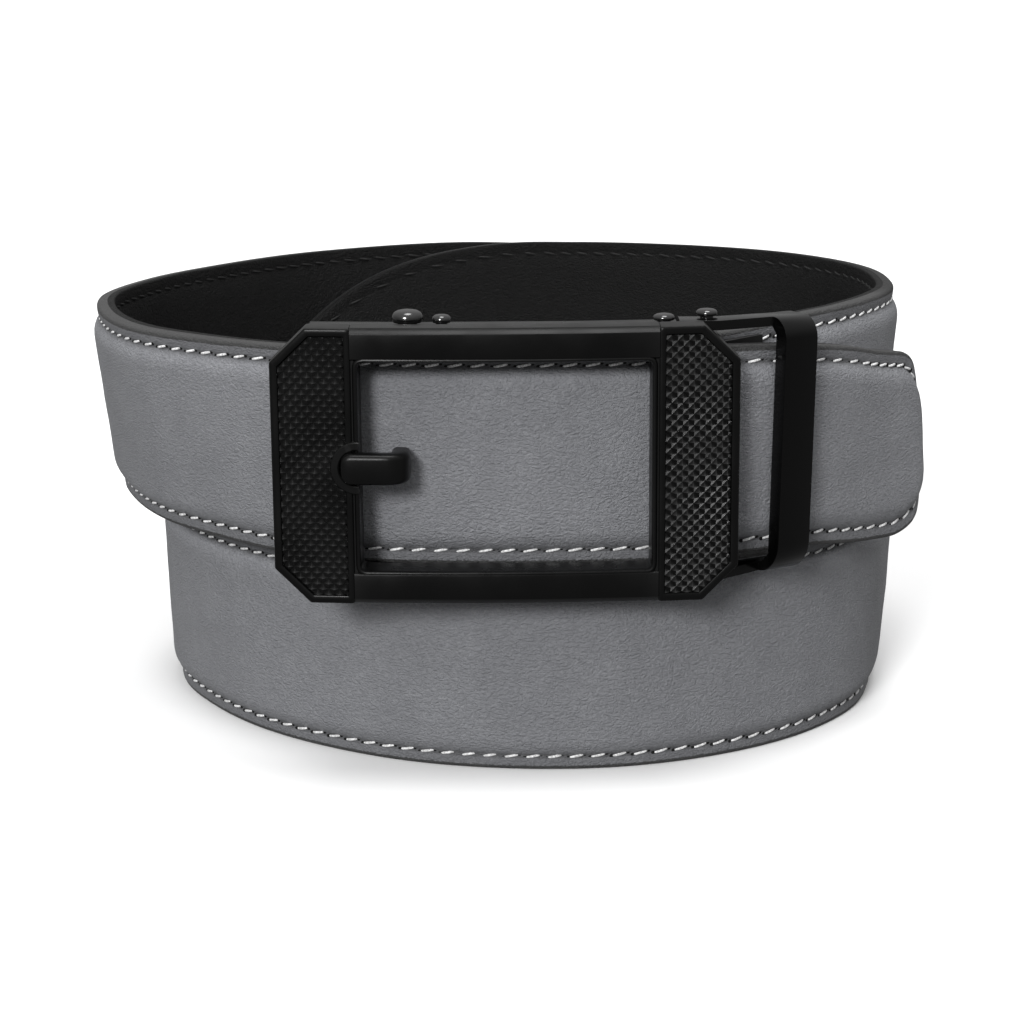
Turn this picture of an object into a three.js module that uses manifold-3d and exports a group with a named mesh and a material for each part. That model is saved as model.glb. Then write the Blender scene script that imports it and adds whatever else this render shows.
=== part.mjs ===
// Ratchet belt, fastened and doubled into two stacked turns, standing on its lower edge.
// Millimetres, +Z up, buckle towards -Y.
// Turn angles run clockwise seen from above: 0 is the right side, 90 the front, 180 the left, 270 the back.
import * as THREE from 'three';
import { mergeVertices } from 'three/addons/utils/BufferGeometryUtils.js';
import Module from 'manifold-3d';

const wasm = await Module();
wasm.setup();

// Strap sizes
const RING_RADIUS = 70;
const STRAP_WIDTH = 34.5;
const LEATHER_THICKNESS = 1.8;
const LINING_THICKNESS = 1.1;
const PADDING_HEIGHT = 1.2;
const PADDING_SLOPE = 3.4;
const PADDING_KNEE_RISE = 0.72;
const PADDING_KNEE_PLACE = 0.35;
const PADDING_LEAST = 0.02;
const FLANGE_WIDTH = 2.7;
const CLEARANCE = 0.3;
const LINING_INSET = 0.4;
const STATION_STEP = 6.5;
const SAMPLES_PER_ROW = 12;
const TIP_CORNER_LENGTH = 14.4;
const TIP_CORNER_HEIGHT = 10.9;
const TIP_TAPER = 3.9;
const TIP_TAPER_LENGTH = 60;
const TIP_STATIONS = [0, 0.01, 0.04, 0.1, 0.18, 0.28, 0.38, 0.5, 0.64, 0.8, 1];
const PADDING_END = 2.6;
const PADDING_END_SLOPE = 4.5;

// Track and pawl sizes
const TRACK_START = 42;
const TRACK_PITCH = 5;
const TRACK_TEETH = 29;
const TRACK_WIDTH = 9;
const TRACK_BASE = 0.8;
const TRACK_TOOTH = 1.2;
const TRACK_TOOTH_FACE = 0.85;
const TRACK_SEAT = 0.5;
const PAWL_LENGTH = 11;
const PAWL_HEIGHT = 10;

// Buckle sizes
const BUCKLE_X = -0.75;
const FRAME_LENGTH = 72.3;
const FRAME_HEIGHT = 43.3;
const FRAME_THICKNESS = 5;
const FRAME_BOW_RADIUS = 260;
const FRAME_CORNER_LENGTH = 5.6;
const FRAME_CORNER_HEIGHT = 5.4;
const FRAME_TO_STRAP = 1.3;
const WINDOW_LENGTH = 45.8;
const WINDOW_HEIGHT = 33.4;
const WINDOW_CORNER = 1;
const FIELD_RIM = 1.25;
const POST_WIDTH = 1.8;
const FIELD_DEPTH = 0.75;
const KNURL_PITCH = 1.98;
const KNURL_BASE = 0.5;
const KNURL_GROOVE = 0.1;
const KNURL_RISE = 0.1;
const BOW_STEP = 6;
const CUT_AHEAD = 2;

// Prong sizes
const PRONG_HEIGHT = 4.9;
const PRONG_THICKNESS = 3;
const PRONG_REACH = 8.2;
const PRONG_ROOT = 2.4;
const PRONG_PROUD = 1.7;
const PRONG_EDGE = 0.8;
const PRONG_BEND = 1.5;
const RING_WIDTH = 1.4;
const RING_PROUD = 0.35;

// Case, clamp, keeper and pin sizes
const CASE_LENGTH = 61;
const CASE_PLATE_LEFT = 22;
const CASE_PLATE_RIGHT = 27;
const CASE_DEPTH = 15.2;
const CASE_EAR_DEPTH = 7;
const CASE_FLOOR = 0.7;
const CASE_ROOF = 1.5;
const CASE_EAR_HEIGHT = 3.3;
const CASE_EAR_SHORT = 3.7;
const CASE_PLATE_BACK = 12.2;
const CASE_PLATE = 1.6;
const HINGE_OVERHANG = 2.8;
const CLAMP_GRIP = 11;
const CLAMP_PLATE = 1.2;
const CLAMP_EDGE = 1;
const BARREL_RADIUS = 1.7;
const BARREL_SET_IN = 0.3;
const CLAMP_ROOM = 0.5;
const KEEPER_WIDTH = 6;
const KEEPER_THICKNESS = 2.7;
const KEEPER_STANDOFF = 2.2;
const KEEPER_ARM = 1.5;
const KEEPER_CORNER = 3.6;
const KEEPER_LOW_CORNER = 5.5;
const KEEPER_FROM_MIDDLE = 43.7;
const KEEPER_RISE = 0.6;
const KEEPER_REACH = 4.8;
const KEEPER_ROOT_LENGTH = 6.2;
const KEEPER_ROOT_DEPTH = 5.4;
const KEEPER_LEAN = 2;
const PIN_LARGE_RADIUS = 2.45;
const PIN_SMALL_RADIUS = 1.5;
const PIN_RIGHT_RADIUS = 1.7;
const PIN_SET_BACK = 4.2;
const PIN_LARGE_FROM_LEFT = 15.4;
const PIN_SMALL_FROM_LEFT = 20.7;
const PIN_RIGHT_FROM_RIGHT = 5.7;
const PIN_KEEPER_FROM_HINGE = 1.8;
const PIN_SEGMENTS = 12;

// The strap's path from tip to cut end. Each row holds the turn angle in degrees, the radius as a share of
// RING_RADIUS and the foot's height as a share of STRAP_WIDTH, both at the outer face's lower edge, and the
// outward lean in degrees.
const GAP_SHARE = 1.038;
const ROUTE = [
  { turn: 24.3, radius: 1.12, foot: 0.912, lean: -3.2 },
  { turn: 28.6, radius: 1.13, foot: 0.912, lean: -2.8 },
  { turn: 32.1, radius: 1.117, foot: 0.917, lean: -2 },
  { turn: 37.1, radius: 1.1, foot: 0.934, lean: -1 },
  { turn: 42.6, radius: 1.09, foot: 0.962, lean: 0.2 },
  { turn: 48, radius: 1.088, foot: 0.998, lean: 1.2 },
  { turn: 54, radius: 1.085, foot: 1.025, lean: 2.2 },
  { turn: 60, radius: 1.074, foot: GAP_SHARE, lean: 3 },
  { turn: 66, radius: 1.054, foot: GAP_SHARE, lean: 3 },
  { turn: 73.8, radius: 1.027, foot: GAP_SHARE, lean: 2.5 },
  { turn: 90, radius: 1.003, foot: GAP_SHARE, lean: 2 },
  { turn: 106.3, radius: 1.016, foot: GAP_SHARE, lean: 2 },
  { turn: 114.8, radius: 1.023, foot: GAP_SHARE, lean: 3 },
  { turn: 123.1, radius: 1.017, foot: GAP_SHARE, lean: 5 },
  { turn: 133.6, radius: 1.0, foot: GAP_SHARE, lean: 8 },
  { turn: 146, radius: 1.004, foot: GAP_SHARE, lean: 9.5 },
  { turn: 160, radius: 1.004, foot: 1.04, lean: 8.5 },
  { turn: 176, radius: 1.014, foot: 1.04, lean: 5 },
  { turn: 190, radius: 0.984, foot: 1.04, lean: 4 },
  { turn: 205, radius: 0.951, foot: 1.04, lean: 4 },
  { turn: 235, radius: 0.961, foot: 1.04, lean: 4 },
  { turn: 265, radius: 0.981, foot: 1.04, lean: 4 },
  { turn: 280, radius: 1.014, foot: 0.985, lean: 4.5 },
  { turn: 298, radius: 1.041, foot: 0.755, lean: 5 },
  { turn: 318, radius: 1.051, foot: 0.42, lean: 5 },
  { turn: 334, radius: 1.031, foot: 0.162, lean: 5 },
  { turn: 346, radius: 0.997, foot: 0.035, lean: 5 },
  { turn: 356, radius: 0.969, foot: 0, lean: 5 },
  { turn: 367, radius: 0.957, foot: 0, lean: 4.5 },
  { turn: 378, radius: 0.967, foot: 0, lean: 3 },
  { turn: 390, radius: 0.986, foot: 0, lean: 2.5 },
  { turn: 405, radius: 0.986, foot: 0, lean: 2.5 },
  { turn: 420, radius: 0.974, foot: 0, lean: 3 },
  { turn: 435, radius: 0.957, foot: 0, lean: 4 },
  { turn: 450, radius: 0.93, foot: 0, lean: 4 },
  { turn: 465, radius: 0.906, foot: 0, lean: 3.5 },
  { turn: 480, radius: 0.883, foot: 0, lean: 3 },
  { turn: 495, radius: 0.873, foot: 0, lean: 3 },
  { turn: 510, radius: 0.871, foot: 0, lean: 3 },
  { turn: 525, radius: 0.884, foot: 0, lean: 2 },
  { turn: 540, radius: 0.883, foot: 0, lean: 1.5 },
  { turn: 555, radius: 0.858, foot: 0, lean: 1.8 },
  { turn: 570, radius: 0.832, foot: 0.093, lean: 2.5 },
  { turn: 585, radius: 0.828, foot: 0.333, lean: 3.5 },
  { turn: 602, radius: 0.857, foot: 0.71, lean: 3.5 },
  { turn: 615, radius: 0.884, foot: 0.957, lean: 4 },
  { turn: 628, radius: 0.909, foot: 1.043, lean: 4 },
  { turn: 642, radius: 0.943, foot: 1.049, lean: 4.5 },
  { turn: 660, radius: 0.971, foot: 1.049, lean: 5 },
  { turn: 677, radius: 0.991, foot: 1.052, lean: 5.5 },
  { turn: 690, radius: 0.999, foot: 1.052, lean: 5.5 },
  { turn: 703, radius: 0.989, foot: 1.055, lean: 5.5 },
  { turn: 716, radius: 0.966, foot: 1.058, lean: 5 },
  { turn: 727, radius: 0.954, foot: 1.058, lean: 4.5 },
  { turn: 738, radius: 0.926, foot: 1.058, lean: 3.5 },
  { turn: 750, radius: 0.903, foot: 1.058, lean: 2.5 },
  { turn: 757.5, radius: 0.894, foot: 1.056, lean: 1.2 },
  { turn: 765.4, radius: 0.903, foot: 1.048, lean: 0 },
  { turn: 771.8, radius: 0.91, foot: 1.04, lean: 0 },
  { turn: 780.9, radius: 0.939, foot: GAP_SHARE, lean: 0 },
];

// Levels and places that follow from the sizes above
const FRONT_ROW = ROUTE.find((row) => row.turn === 90);
const STRAP_FRONT_Y = -FRONT_ROW.radius * RING_RADIUS;
const STRAP_FOOT = FRONT_ROW.foot * STRAP_WIDTH;
const STRAP_BACK = LEATHER_THICKNESS + CLEARANCE + LINING_THICKNESS;
const BUCKLE_Z = STRAP_FOOT + STRAP_WIDTH / 2;
const FRAME_BACK_Y = STRAP_FRONT_Y - PADDING_HEIGHT - FRAME_TO_STRAP;
const FRAME_FACE_Y = FRAME_BACK_Y - FRAME_THICKNESS;
const HALF_WINDOW = WINDOW_LENGTH / 2;
const FIELD_INNER = HALF_WINDOW + POST_WIDTH;
const CASE_FRONT_Y = FRAME_BACK_Y + CLEARANCE;
const CASE_FLOOR_TOP = STRAP_FOOT - CLEARANCE;
const CASE_ROOF_BOTTOM = STRAP_FOOT + STRAP_WIDTH + CLEARANCE;
const CASE_EAR_TOP = CASE_ROOF_BOTTOM + CASE_EAR_HEIGHT;
const KEEPER_TOP = CASE_EAR_TOP + KEEPER_RISE;
const KEEPER_BOTTOM = CASE_FLOOR_TOP - CASE_FLOOR - CLEARANCE - KEEPER_ARM;

// Curved path through the rows of ROUTE, with its length measured along the way
function makeRoute() {
  const points = ROUTE.map((row) => {
    const angle = -THREE.MathUtils.degToRad(row.turn);
    const radius = row.radius * RING_RADIUS;
    return new THREE.Vector3(radius * Math.cos(angle), radius * Math.sin(angle), row.foot * STRAP_WIDTH);
  });
  const curve = new THREE.CatmullRomCurve3(points, false, 'centripetal');
  const count = (ROUTE.length - 1) * SAMPLES_PER_ROW;
  const samples = [];
  let distance = 0;
  for (let i = 0; i <= count; i += 1) {
    const point = curve.getPoint(i / count);
    point.z = Math.max(0, point.z);
    if (i > 0) {
      distance += point.distanceTo(samples[i - 1].point);
    }
    const row = Math.min(Math.floor(i / SAMPLES_PER_ROW), ROUTE.length - 2);
    const share = i / SAMPLES_PER_ROW - row;
    const lean = THREE.MathUtils.lerp(ROUTE[row].lean, ROUTE[row + 1].lean, share);
    samples.push({ point, distance, lean });
  }
  return samples;
}

const route = makeRoute();
const ROUTE_LENGTH = route[route.length - 1].distance;
const MIDDLE_DISTANCE = route[ROUTE.indexOf(FRONT_ROW) * SAMPLES_PER_ROW].distance;

// Place, directions and lean of the strap at a distance from its tip
function stationAt(distance) {
  const found = route.findIndex((sample) => sample.distance >= distance);
  const i = found < 0 ? route.length - 1 : Math.max(found, 1);
  const before = route[i - 1];
  const after = route[i];
  const share = (distance - before.distance) / (after.distance - before.distance);
  const point = before.point.clone().lerp(after.point, share);
  const from = route[Math.max(i - 3, 0)].point;
  const to = route[Math.min(i + 2, route.length - 1)].point;
  const along = to.clone().sub(from).normalize();
  const up = new THREE.Vector3(0, 0, 1);
  const upright = up.sub(along.clone().multiplyScalar(along.z)).normalize();
  const outward = upright.clone().cross(along).normalize();
  const lean = THREE.MathUtils.degToRad(THREE.MathUtils.lerp(before.lean, after.lean, share));
  const across = upright.clone().multiplyScalar(Math.cos(lean)).addScaledVector(outward, Math.sin(lean));
  const normal = outward.clone().multiplyScalar(Math.cos(lean)).addScaledVector(upright, -Math.sin(lean));
  return { point, along, across, normal, distance };
}

function placeOnStation(station, out, up) {
  return station.point.clone().addScaledVector(station.normal, out).addScaledVector(station.across, up);
}

// Distances of the strap's stations, closer together round the tip's corners
function stationDistances() {
  const distances = TIP_STATIONS.map((share) => share * TIP_CORNER_LENGTH);
  const remaining = ROUTE_LENGTH - TIP_CORNER_LENGTH;
  const steps = Math.ceil(remaining / STATION_STEP);
  for (let i = 1; i <= steps; i += 1) {
    distances.push(TIP_CORNER_LENGTH + (remaining * i) / steps);
  }
  return distances;
}

// How far each edge of the strap draws in at the tip: a rounded corner and a slight taper
function edgeInset(distance) {
  const corner = Math.max(0, 1 - distance / TIP_CORNER_LENGTH);
  const taper = Math.max(0, 1 - distance / TIP_TAPER_LENGTH);
  return TIP_CORNER_HEIGHT * (1 - Math.sqrt(1 - corner * corner)) + (TIP_TAPER / 2) * taper;
}

// Padding height, rising from the flat flange at both ends of the strap
function paddingAt(distance) {
  const fromTip = (distance - PADDING_END) / PADDING_END_SLOPE;
  const fromCut = (ROUTE_LENGTH - CLAMP_GRIP - STATION_STEP - distance) / PADDING_END_SLOPE;
  const share = THREE.MathUtils.clamp(Math.min(fromTip, fromCut), PADDING_LEAST, 1);
  return PADDING_HEIGHT * Math.sqrt(1 - (1 - share) ** 2);
}

// Closed solid through a row of sections with equally many corners. Flipped splits each side's quads along
// their other diagonal, so that two faces that lie together bend alike.
function loft(sections, flatSection, flipped = false) {
  const positions = [];
  const indices = [];
  const size = sections[0].length;
  for (const section of sections) {
    for (const corner of section) {
      positions.push(corner.x, corner.y, corner.z);
    }
  }
  for (let i = 0; i < sections.length - 1; i += 1) {
    for (let j = 0; j < size; j += 1) {
      const a = i * size + j;
      const b = i * size + ((j + 1) % size);
      const split = flipped ? [a, b, b + size, a, b + size, a + size] : [a, b, a + size, b, b + size, a + size];
      indices.push(...split);
    }
  }
  const last = (sections.length - 1) * size;
  for (const [a, b, c] of THREE.ShapeUtils.triangulateShape(flatSection, [])) {
    indices.push(a, c, b, last + a, last + b, last + c);
  }
  const geometry = new THREE.BufferGeometry();
  geometry.setAttribute('position', new THREE.Float32BufferAttribute(positions, 3));
  geometry.setIndex(indices);
  return turnOutward(geometry);
}

// Reverses the triangles of a closed solid whose faces point in
function turnOutward(geometry) {
  const position = geometry.attributes.position;
  const index = geometry.index.array;
  const corner = [new THREE.Vector3(), new THREE.Vector3(), new THREE.Vector3()];
  let volume = 0;
  for (let i = 0; i < index.length; i += 3) {
    corner.forEach((vector, k) => vector.fromBufferAttribute(position, index[i + k]));
    volume += corner[0].dot(corner[1].clone().cross(corner[2]));
  }
  if (volume < 0) {
    for (let i = 0; i < index.length; i += 3) {
      [index[i + 1], index[i + 2]] = [index[i + 2], index[i + 1]];
    }
  }
  return geometry;
}

function toSolid(geometry) {
  const bare = geometry.clone();
  bare.deleteAttribute('normal');
  bare.deleteAttribute('uv');
  const merged = mergeVertices(bare, 1e-4);
  const mesh = new wasm.Mesh({
    numProp: 3,
    vertProperties: new Float32Array(merged.attributes.position.array),
    triVerts: new Uint32Array(merged.index.array),
  });
  return new wasm.Manifold(mesh);
}

function toGeometry(solid) {
  const mesh = solid.getMesh();
  const geometry = new THREE.BufferGeometry();
  geometry.setAttribute('position', new THREE.BufferAttribute(new Float32Array(mesh.vertProperties), 3));
  geometry.setIndex(new THREE.BufferAttribute(new Uint32Array(mesh.triVerts), 1));
  return geometry;
}

// Strap leather: flat flanges with a padded middle between them
function makeStrapOuter() {
  const knee = PADDING_SLOPE * PADDING_KNEE_PLACE;
  const outline = (width, padding) => [
    new THREE.Vector2(0, 0),
    new THREE.Vector2(0, FLANGE_WIDTH),
    new THREE.Vector2(padding * PADDING_KNEE_RISE, FLANGE_WIDTH + knee),
    new THREE.Vector2(padding, FLANGE_WIDTH + PADDING_SLOPE),
    new THREE.Vector2(padding, width - FLANGE_WIDTH - PADDING_SLOPE),
    new THREE.Vector2(padding * PADDING_KNEE_RISE, width - FLANGE_WIDTH - knee),
    new THREE.Vector2(0, width - FLANGE_WIDTH),
    new THREE.Vector2(0, width),
    new THREE.Vector2(-LEATHER_THICKNESS, width),
    new THREE.Vector2(-LEATHER_THICKNESS, 0),
  ];
  const sections = stationDistances().map((distance) => {
    const station = stationAt(distance);
    const inset = edgeInset(distance);
    const width = STRAP_WIDTH - 2 * inset;
    const corners = outline(width, paddingAt(distance)).map((corner) => {
      return placeOnStation(station, corner.x, corner.y + inset);
    });
    // The foot of the lower turn is flat where it stands
    if (station.point.z === 0) {
      corners[0].z = 0;
      corners[corners.length - 1].z = 0;
    }
    return corners;
  });
  return loft(sections, outline(STRAP_WIDTH, PADDING_HEIGHT));
}

function makeStrapLining() {
  const front = -LEATHER_THICKNESS - CLEARANCE;
  const outline = (width) => [
    new THREE.Vector2(front, LINING_INSET),
    new THREE.Vector2(front, width - LINING_INSET),
    new THREE.Vector2(front - LINING_THICKNESS, width - LINING_INSET),
    new THREE.Vector2(front - LINING_THICKNESS, LINING_INSET),
  ];
  const inner = stationDistances().filter((distance) => distance > LINING_INSET);
  const sections = inner.map((distance) => {
    const station = stationAt(distance);
    const inset = edgeInset(distance);
    return outline(STRAP_WIDTH - 2 * inset).map((corner) => {
      return placeOnStation(station, corner.x, corner.y + inset);
    });
  });
  return loft(sections, outline(STRAP_WIDTH), true);
}

// Toothed strip on the lining of the tip stretch
function makeTrack() {
  const front = -STRAP_BACK - TRACK_SEAT;
  const low = (STRAP_WIDTH - TRACK_WIDTH) / 2;
  const outline = (depth) => [
    new THREE.Vector2(front, low),
    new THREE.Vector2(front, low + TRACK_WIDTH),
    new THREE.Vector2(front - depth, low + TRACK_WIDTH),
    new THREE.Vector2(front - depth, low),
  ];
  const sections = [];
  for (let i = 0; i < TRACK_TEETH; i += 1) {
    const start = TRACK_START + i * TRACK_PITCH;
    const rows = [[start, TRACK_BASE], [start + TRACK_PITCH * TRACK_TOOTH_FACE, TRACK_BASE + TRACK_TOOTH]];
    for (const [distance, depth] of rows) {
      const station = stationAt(distance);
      sections.push(outline(depth).map((corner) => placeOnStation(station, corner.x, corner.y)));
    }
  }
  return loft(sections, outline(TRACK_BASE));
}

// Bow of the buckle: pieces curve back from the middle of the frame
function bowAt(x) {
  return FRAME_BOW_RADIUS - Math.sqrt(FRAME_BOW_RADIUS ** 2 - x * x);
}

// Bowed slab between two X values, with front and back depths and lower and upper edges as functions of X
function bowedSlab({ from, to, front, back, lower, upper, breaks = [] }) {
  const steps = Math.ceil((to - from) / BOW_STEP);
  const places = breaks.filter((x) => x > from && x < to);
  for (let i = 0; i <= steps; i += 1) {
    places.push(from + ((to - from) * i) / steps);
  }
  places.sort((a, b) => a - b);
  const separate = places.filter((x, i) => i === 0 || x - places[i - 1] > 1e-3);
  const sections = separate.map((x) => [
    new THREE.Vector3(x, front + bowAt(x), lower(x)),
    new THREE.Vector3(x, front + bowAt(x), upper(x)),
    new THREE.Vector3(x, back + bowAt(x), upper(x)),
    new THREE.Vector3(x, back + bowAt(x), lower(x)),
  ]);
  const flat = [[0, 0], [0, 1], [-1, 1], [-1, 0]].map(([x, y]) => new THREE.Vector2(x, y));
  return loft(sections, flat);
}

// Half height of the frame's outline, drawn in by an inset, with its cut corners
function halfHeight(x, inset) {
  const slope = FRAME_CORNER_HEIGHT / FRAME_CORNER_LENGTH;
  const past = Math.abs(x) - (FRAME_LENGTH / 2 - FRAME_CORNER_LENGTH);
  const cut = FRAME_HEIGHT / 2 - past * slope - inset * Math.sqrt(1 + slope * slope);
  return Math.min(FRAME_HEIGHT / 2 - inset, cut);
}

// X value where the inset outline turns into its cut corner
function cornerStart(inset) {
  const slope = FRAME_CORNER_HEIGHT / FRAME_CORNER_LENGTH;
  const start = FRAME_LENGTH / 2 - FRAME_CORNER_LENGTH;
  return start + (inset - inset * Math.sqrt(1 + slope * slope)) / slope;
}

function outlineSlab(from, to, front, back, inset) {
  const corner = cornerStart(inset);
  return bowedSlab({
    from,
    to,
    front,
    back,
    lower: (x) => BUCKLE_Z - halfHeight(x, inset),
    upper: (x) => BUCKLE_Z + halfHeight(x, inset),
    breaks: [-corner, corner],
  });
}

// Round bar along Y, used to cut and to raise the ring round the prong's root
function barAlongY(radius, from, to, x, z) {
  const bar = new THREE.CylinderGeometry(radius, radius, to - from, 24);
  bar.translate(x, (from + to) / 2, z);
  return bar;
}

function makeWindowCut() {
  const halfHeightOpen = WINDOW_HEIGHT / 2;
  const shape = new THREE.Shape();
  const right = HALF_WINDOW;
  const r = WINDOW_CORNER;
  shape.moveTo(-right + r, -halfHeightOpen);
  shape.lineTo(right - r, -halfHeightOpen);
  shape.absarc(right - r, -halfHeightOpen + r, r, -Math.PI / 2, 0);
  shape.lineTo(right, halfHeightOpen - r);
  shape.absarc(right - r, halfHeightOpen - r, r, 0, Math.PI / 2);
  shape.lineTo(-right + r, halfHeightOpen);
  shape.absarc(-right + r, halfHeightOpen - r, r, Math.PI / 2, Math.PI);
  shape.lineTo(-right, -halfHeightOpen + r);
  shape.absarc(-right + r, -halfHeightOpen + r, r, Math.PI, Math.PI * 1.5);
  const cut = new THREE.ExtrudeGeometry(shape, { depth: 4 * FRAME_THICKNESS, bevelEnabled: false, curveSegments: 3 });
  cut.rotateX(Math.PI / 2);
  cut.translate(0, FRAME_BACK_Y + 2 * FRAME_THICKNESS, BUCKLE_Z);
  return cut;
}

// Field of four-sided points between two X values, as one bowed slab
function makeKnurl(from, to) {
  const half = KNURL_PITCH / 2;
  const across = Math.ceil((to - from) / half);
  const down = Math.ceil(FRAME_HEIGHT / half);
  const floor = FRAME_FACE_Y + FIELD_DEPTH;
  const positions = [];
  const indices = [];
  const at = (i, j) => i * (down + 1) + j;
  for (const layer of ['points', 'base']) {
    for (let i = 0; i <= across; i += 1) {
      for (let j = 0; j <= down; j += 1) {
        const x = from + i * half;
        const z = BUCKLE_Z - FRAME_HEIGHT / 2 + j * half;
        const raised = (i + j) % 2 === 0 ? FRAME_FACE_Y + KNURL_RISE : floor - KNURL_RISE;
        const y = layer === 'points' ? raised : floor + KNURL_BASE;
        positions.push(x, y + bowAt(x), z);
      }
    }
  }
  const below = (across + 1) * (down + 1);
  for (let i = 0; i < across; i += 1) {
    for (let j = 0; j < down; j += 1) {
      const [a, b, c, d] = [at(i, j), at(i + 1, j), at(i + 1, j + 1), at(i, j + 1)];
      const split = (i + j) % 2 === 0 ? [a, b, d, b, c, d] : [a, b, c, a, c, d];
      indices.push(...split);
      indices.push(...split.map((corner) => corner + below).reverse());
    }
  }
  const wall = (a, b) => indices.push(a, a + below, b, b, a + below, b + below);
  for (let i = 0; i < across; i += 1) {
    wall(at(i, 0), at(i + 1, 0));
    wall(at(i + 1, down), at(i, down));
  }
  for (let j = 0; j < down; j += 1) {
    wall(at(0, j + 1), at(0, j));
    wall(at(across, j), at(across, j + 1));
  }
  const geometry = new THREE.BufferGeometry();
  geometry.setAttribute('position', new THREE.Float32BufferAttribute(positions, 3));
  geometry.setIndex(indices);
  return turnOutward(geometry);
}

// Frame with window, knurled fields and the raised ring round the prong's root
function makeFrame() {
  const end = FRAME_LENGTH / 2;
  const ahead = FRAME_FACE_Y - CUT_AHEAD;
  const ringX = -HALF_WINDOW;
  const ringFace = FRAME_FACE_Y + bowAt(ringX);
  const holeRadius = PRONG_HEIGHT / 2 + CLEARANCE;
  const ringRadius = holeRadius + RING_WIDTH;
  const bite = toSolid(barAlongY(ringRadius, ahead, FRAME_BACK_Y, ringX, BUCKLE_Z));
  const clearOfBite = toSolid(barAlongY(ringRadius + KNURL_GROOVE, ahead, FRAME_BACK_Y, ringX, BUCKLE_Z));
  const ringBar = toSolid(barAlongY(ringRadius, ringFace - RING_PROUD, FRAME_BACK_Y, ringX, BUCKLE_Z));
  const holeBar = barAlongY(holeRadius, ahead, ringFace + PRONG_THICKNESS, ringX, BUCKLE_Z);
  let frame = toSolid(outlineSlab(-end, end, FRAME_FACE_Y, FRAME_BACK_Y, 0));
  const leftOfWindow = toSolid(outlineSlab(-end, -HALF_WINDOW, ahead, FRAME_BACK_Y, 0));
  frame = frame.add(ringBar.intersect(leftOfWindow));
  for (const side of [-1, 1]) {
    const outer = end - FIELD_RIM;
    const [from, to] = side < 0 ? [-outer, -FIELD_INNER] : [FIELD_INNER, outer];
    const floor = FRAME_FACE_Y + FIELD_DEPTH;
    const pocket = toSolid(outlineSlab(from, to, ahead, floor, FIELD_RIM)).subtract(bite);
    const groove = KNURL_GROOVE;
    const room = toSolid(outlineSlab(from + groove, to - groove, ahead, floor + KNURL_BASE, FIELD_RIM + groove));
    const knurl = toSolid(makeKnurl(from, to)).intersect(room.subtract(clearOfBite));
    frame = frame.subtract(pocket).add(knurl);
  }
  frame = frame.subtract(toSolid(makeWindowCut())).subtract(toSolid(holeBar));
  return toGeometry(frame);
}

// Imitation prong: a bar over the left post whose head bends back to the strap
function makeProng() {
  const left = -HALF_WINDOW - PRONG_ROOT;
  const right = -HALF_WINDOW + PRONG_REACH;
  const front = FRAME_FACE_Y + bowAt(HALF_WINDOW) - PRONG_PROUD;
  const back = front + PRONG_THICKNESS;
  const tip = STRAP_FRONT_Y - PADDING_HEIGHT - CLEARANCE;
  const bend = PRONG_THICKNESS * PRONG_BEND;
  const shape = new THREE.Shape();
  shape.moveTo(left, back);
  shape.lineTo(left, front + PRONG_THICKNESS / 2);
  shape.quadraticCurveTo(left, front, left + PRONG_THICKNESS / 2, front);
  shape.lineTo(right - bend, front);
  shape.quadraticCurveTo(right, front, right, front + bend);
  shape.lineTo(right, tip);
  shape.lineTo(right - PRONG_THICKNESS, tip);
  shape.lineTo(right - PRONG_THICKNESS, back + PRONG_EDGE);
  shape.lineTo(right - PRONG_THICKNESS - PRONG_EDGE, back);
  const prong = new THREE.ExtrudeGeometry(shape, {
    depth: PRONG_HEIGHT - 2 * PRONG_EDGE,
    bevelEnabled: true,
    bevelThickness: PRONG_EDGE,
    bevelSize: PRONG_EDGE,
    bevelOffset: -PRONG_EDGE,
    bevelSegments: 2,
    curveSegments: 5,
  });
  prong.translate(0, 0, BUCKLE_Z - PRONG_HEIGHT / 2 + PRONG_EDGE);
  // The root is round seen from the front
  const root = toSolid(barAlongY(PRONG_HEIGHT / 2, front - CUT_AHEAD, back + CUT_AHEAD, -HALF_WINDOW, BUCKLE_Z));
  const rest = new THREE.BoxGeometry(2 * PRONG_REACH, 8 * PRONG_THICKNESS, 2 * PRONG_HEIGHT);
  rest.translate(-HALF_WINDOW + PRONG_REACH, back, BUCKLE_Z);
  return toGeometry(toSolid(prong).intersect(root.add(toSolid(rest))));
}

// Case behind the frame: roof, floor and back plate, open at both ends for the strap
function makeCase() {
  const half = CASE_LENGTH / 2;
  const slab = (from, to, front, back, low, high) => {
    return toSolid(bowedSlab({ from, to, front, back, lower: () => low, upper: () => high }));
  };
  const depthEnd = CASE_FRONT_Y + CASE_DEPTH;
  const hingeEnd = half + HINGE_OVERHANG;
  const plateFront = CASE_FRONT_Y + CASE_PLATE_BACK - CASE_PLATE;
  const plateBack = CASE_FRONT_Y + CASE_PLATE_BACK;
  const floorBottom = CASE_FLOOR_TOP - CASE_FLOOR;
  const roofTop = CASE_ROOF_BOTTOM + CASE_ROOF;
  let box = slab(-half, hingeEnd, CASE_FRONT_Y, depthEnd, CASE_ROOF_BOTTOM, roofTop);
  const earBack = CASE_FRONT_Y + CASE_EAR_DEPTH;
  box = box.add(slab(-half, half - CASE_EAR_SHORT, CASE_FRONT_Y, earBack, CASE_ROOF_BOTTOM, CASE_EAR_TOP));
  box = box.add(slab(-half, hingeEnd, CASE_FRONT_Y, depthEnd, floorBottom, CASE_FLOOR_TOP));
  box = box.add(slab(-CASE_PLATE_LEFT, CASE_PLATE_RIGHT, plateFront, plateBack, floorBottom, roofTop));
  return toGeometry(box);
}

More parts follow.
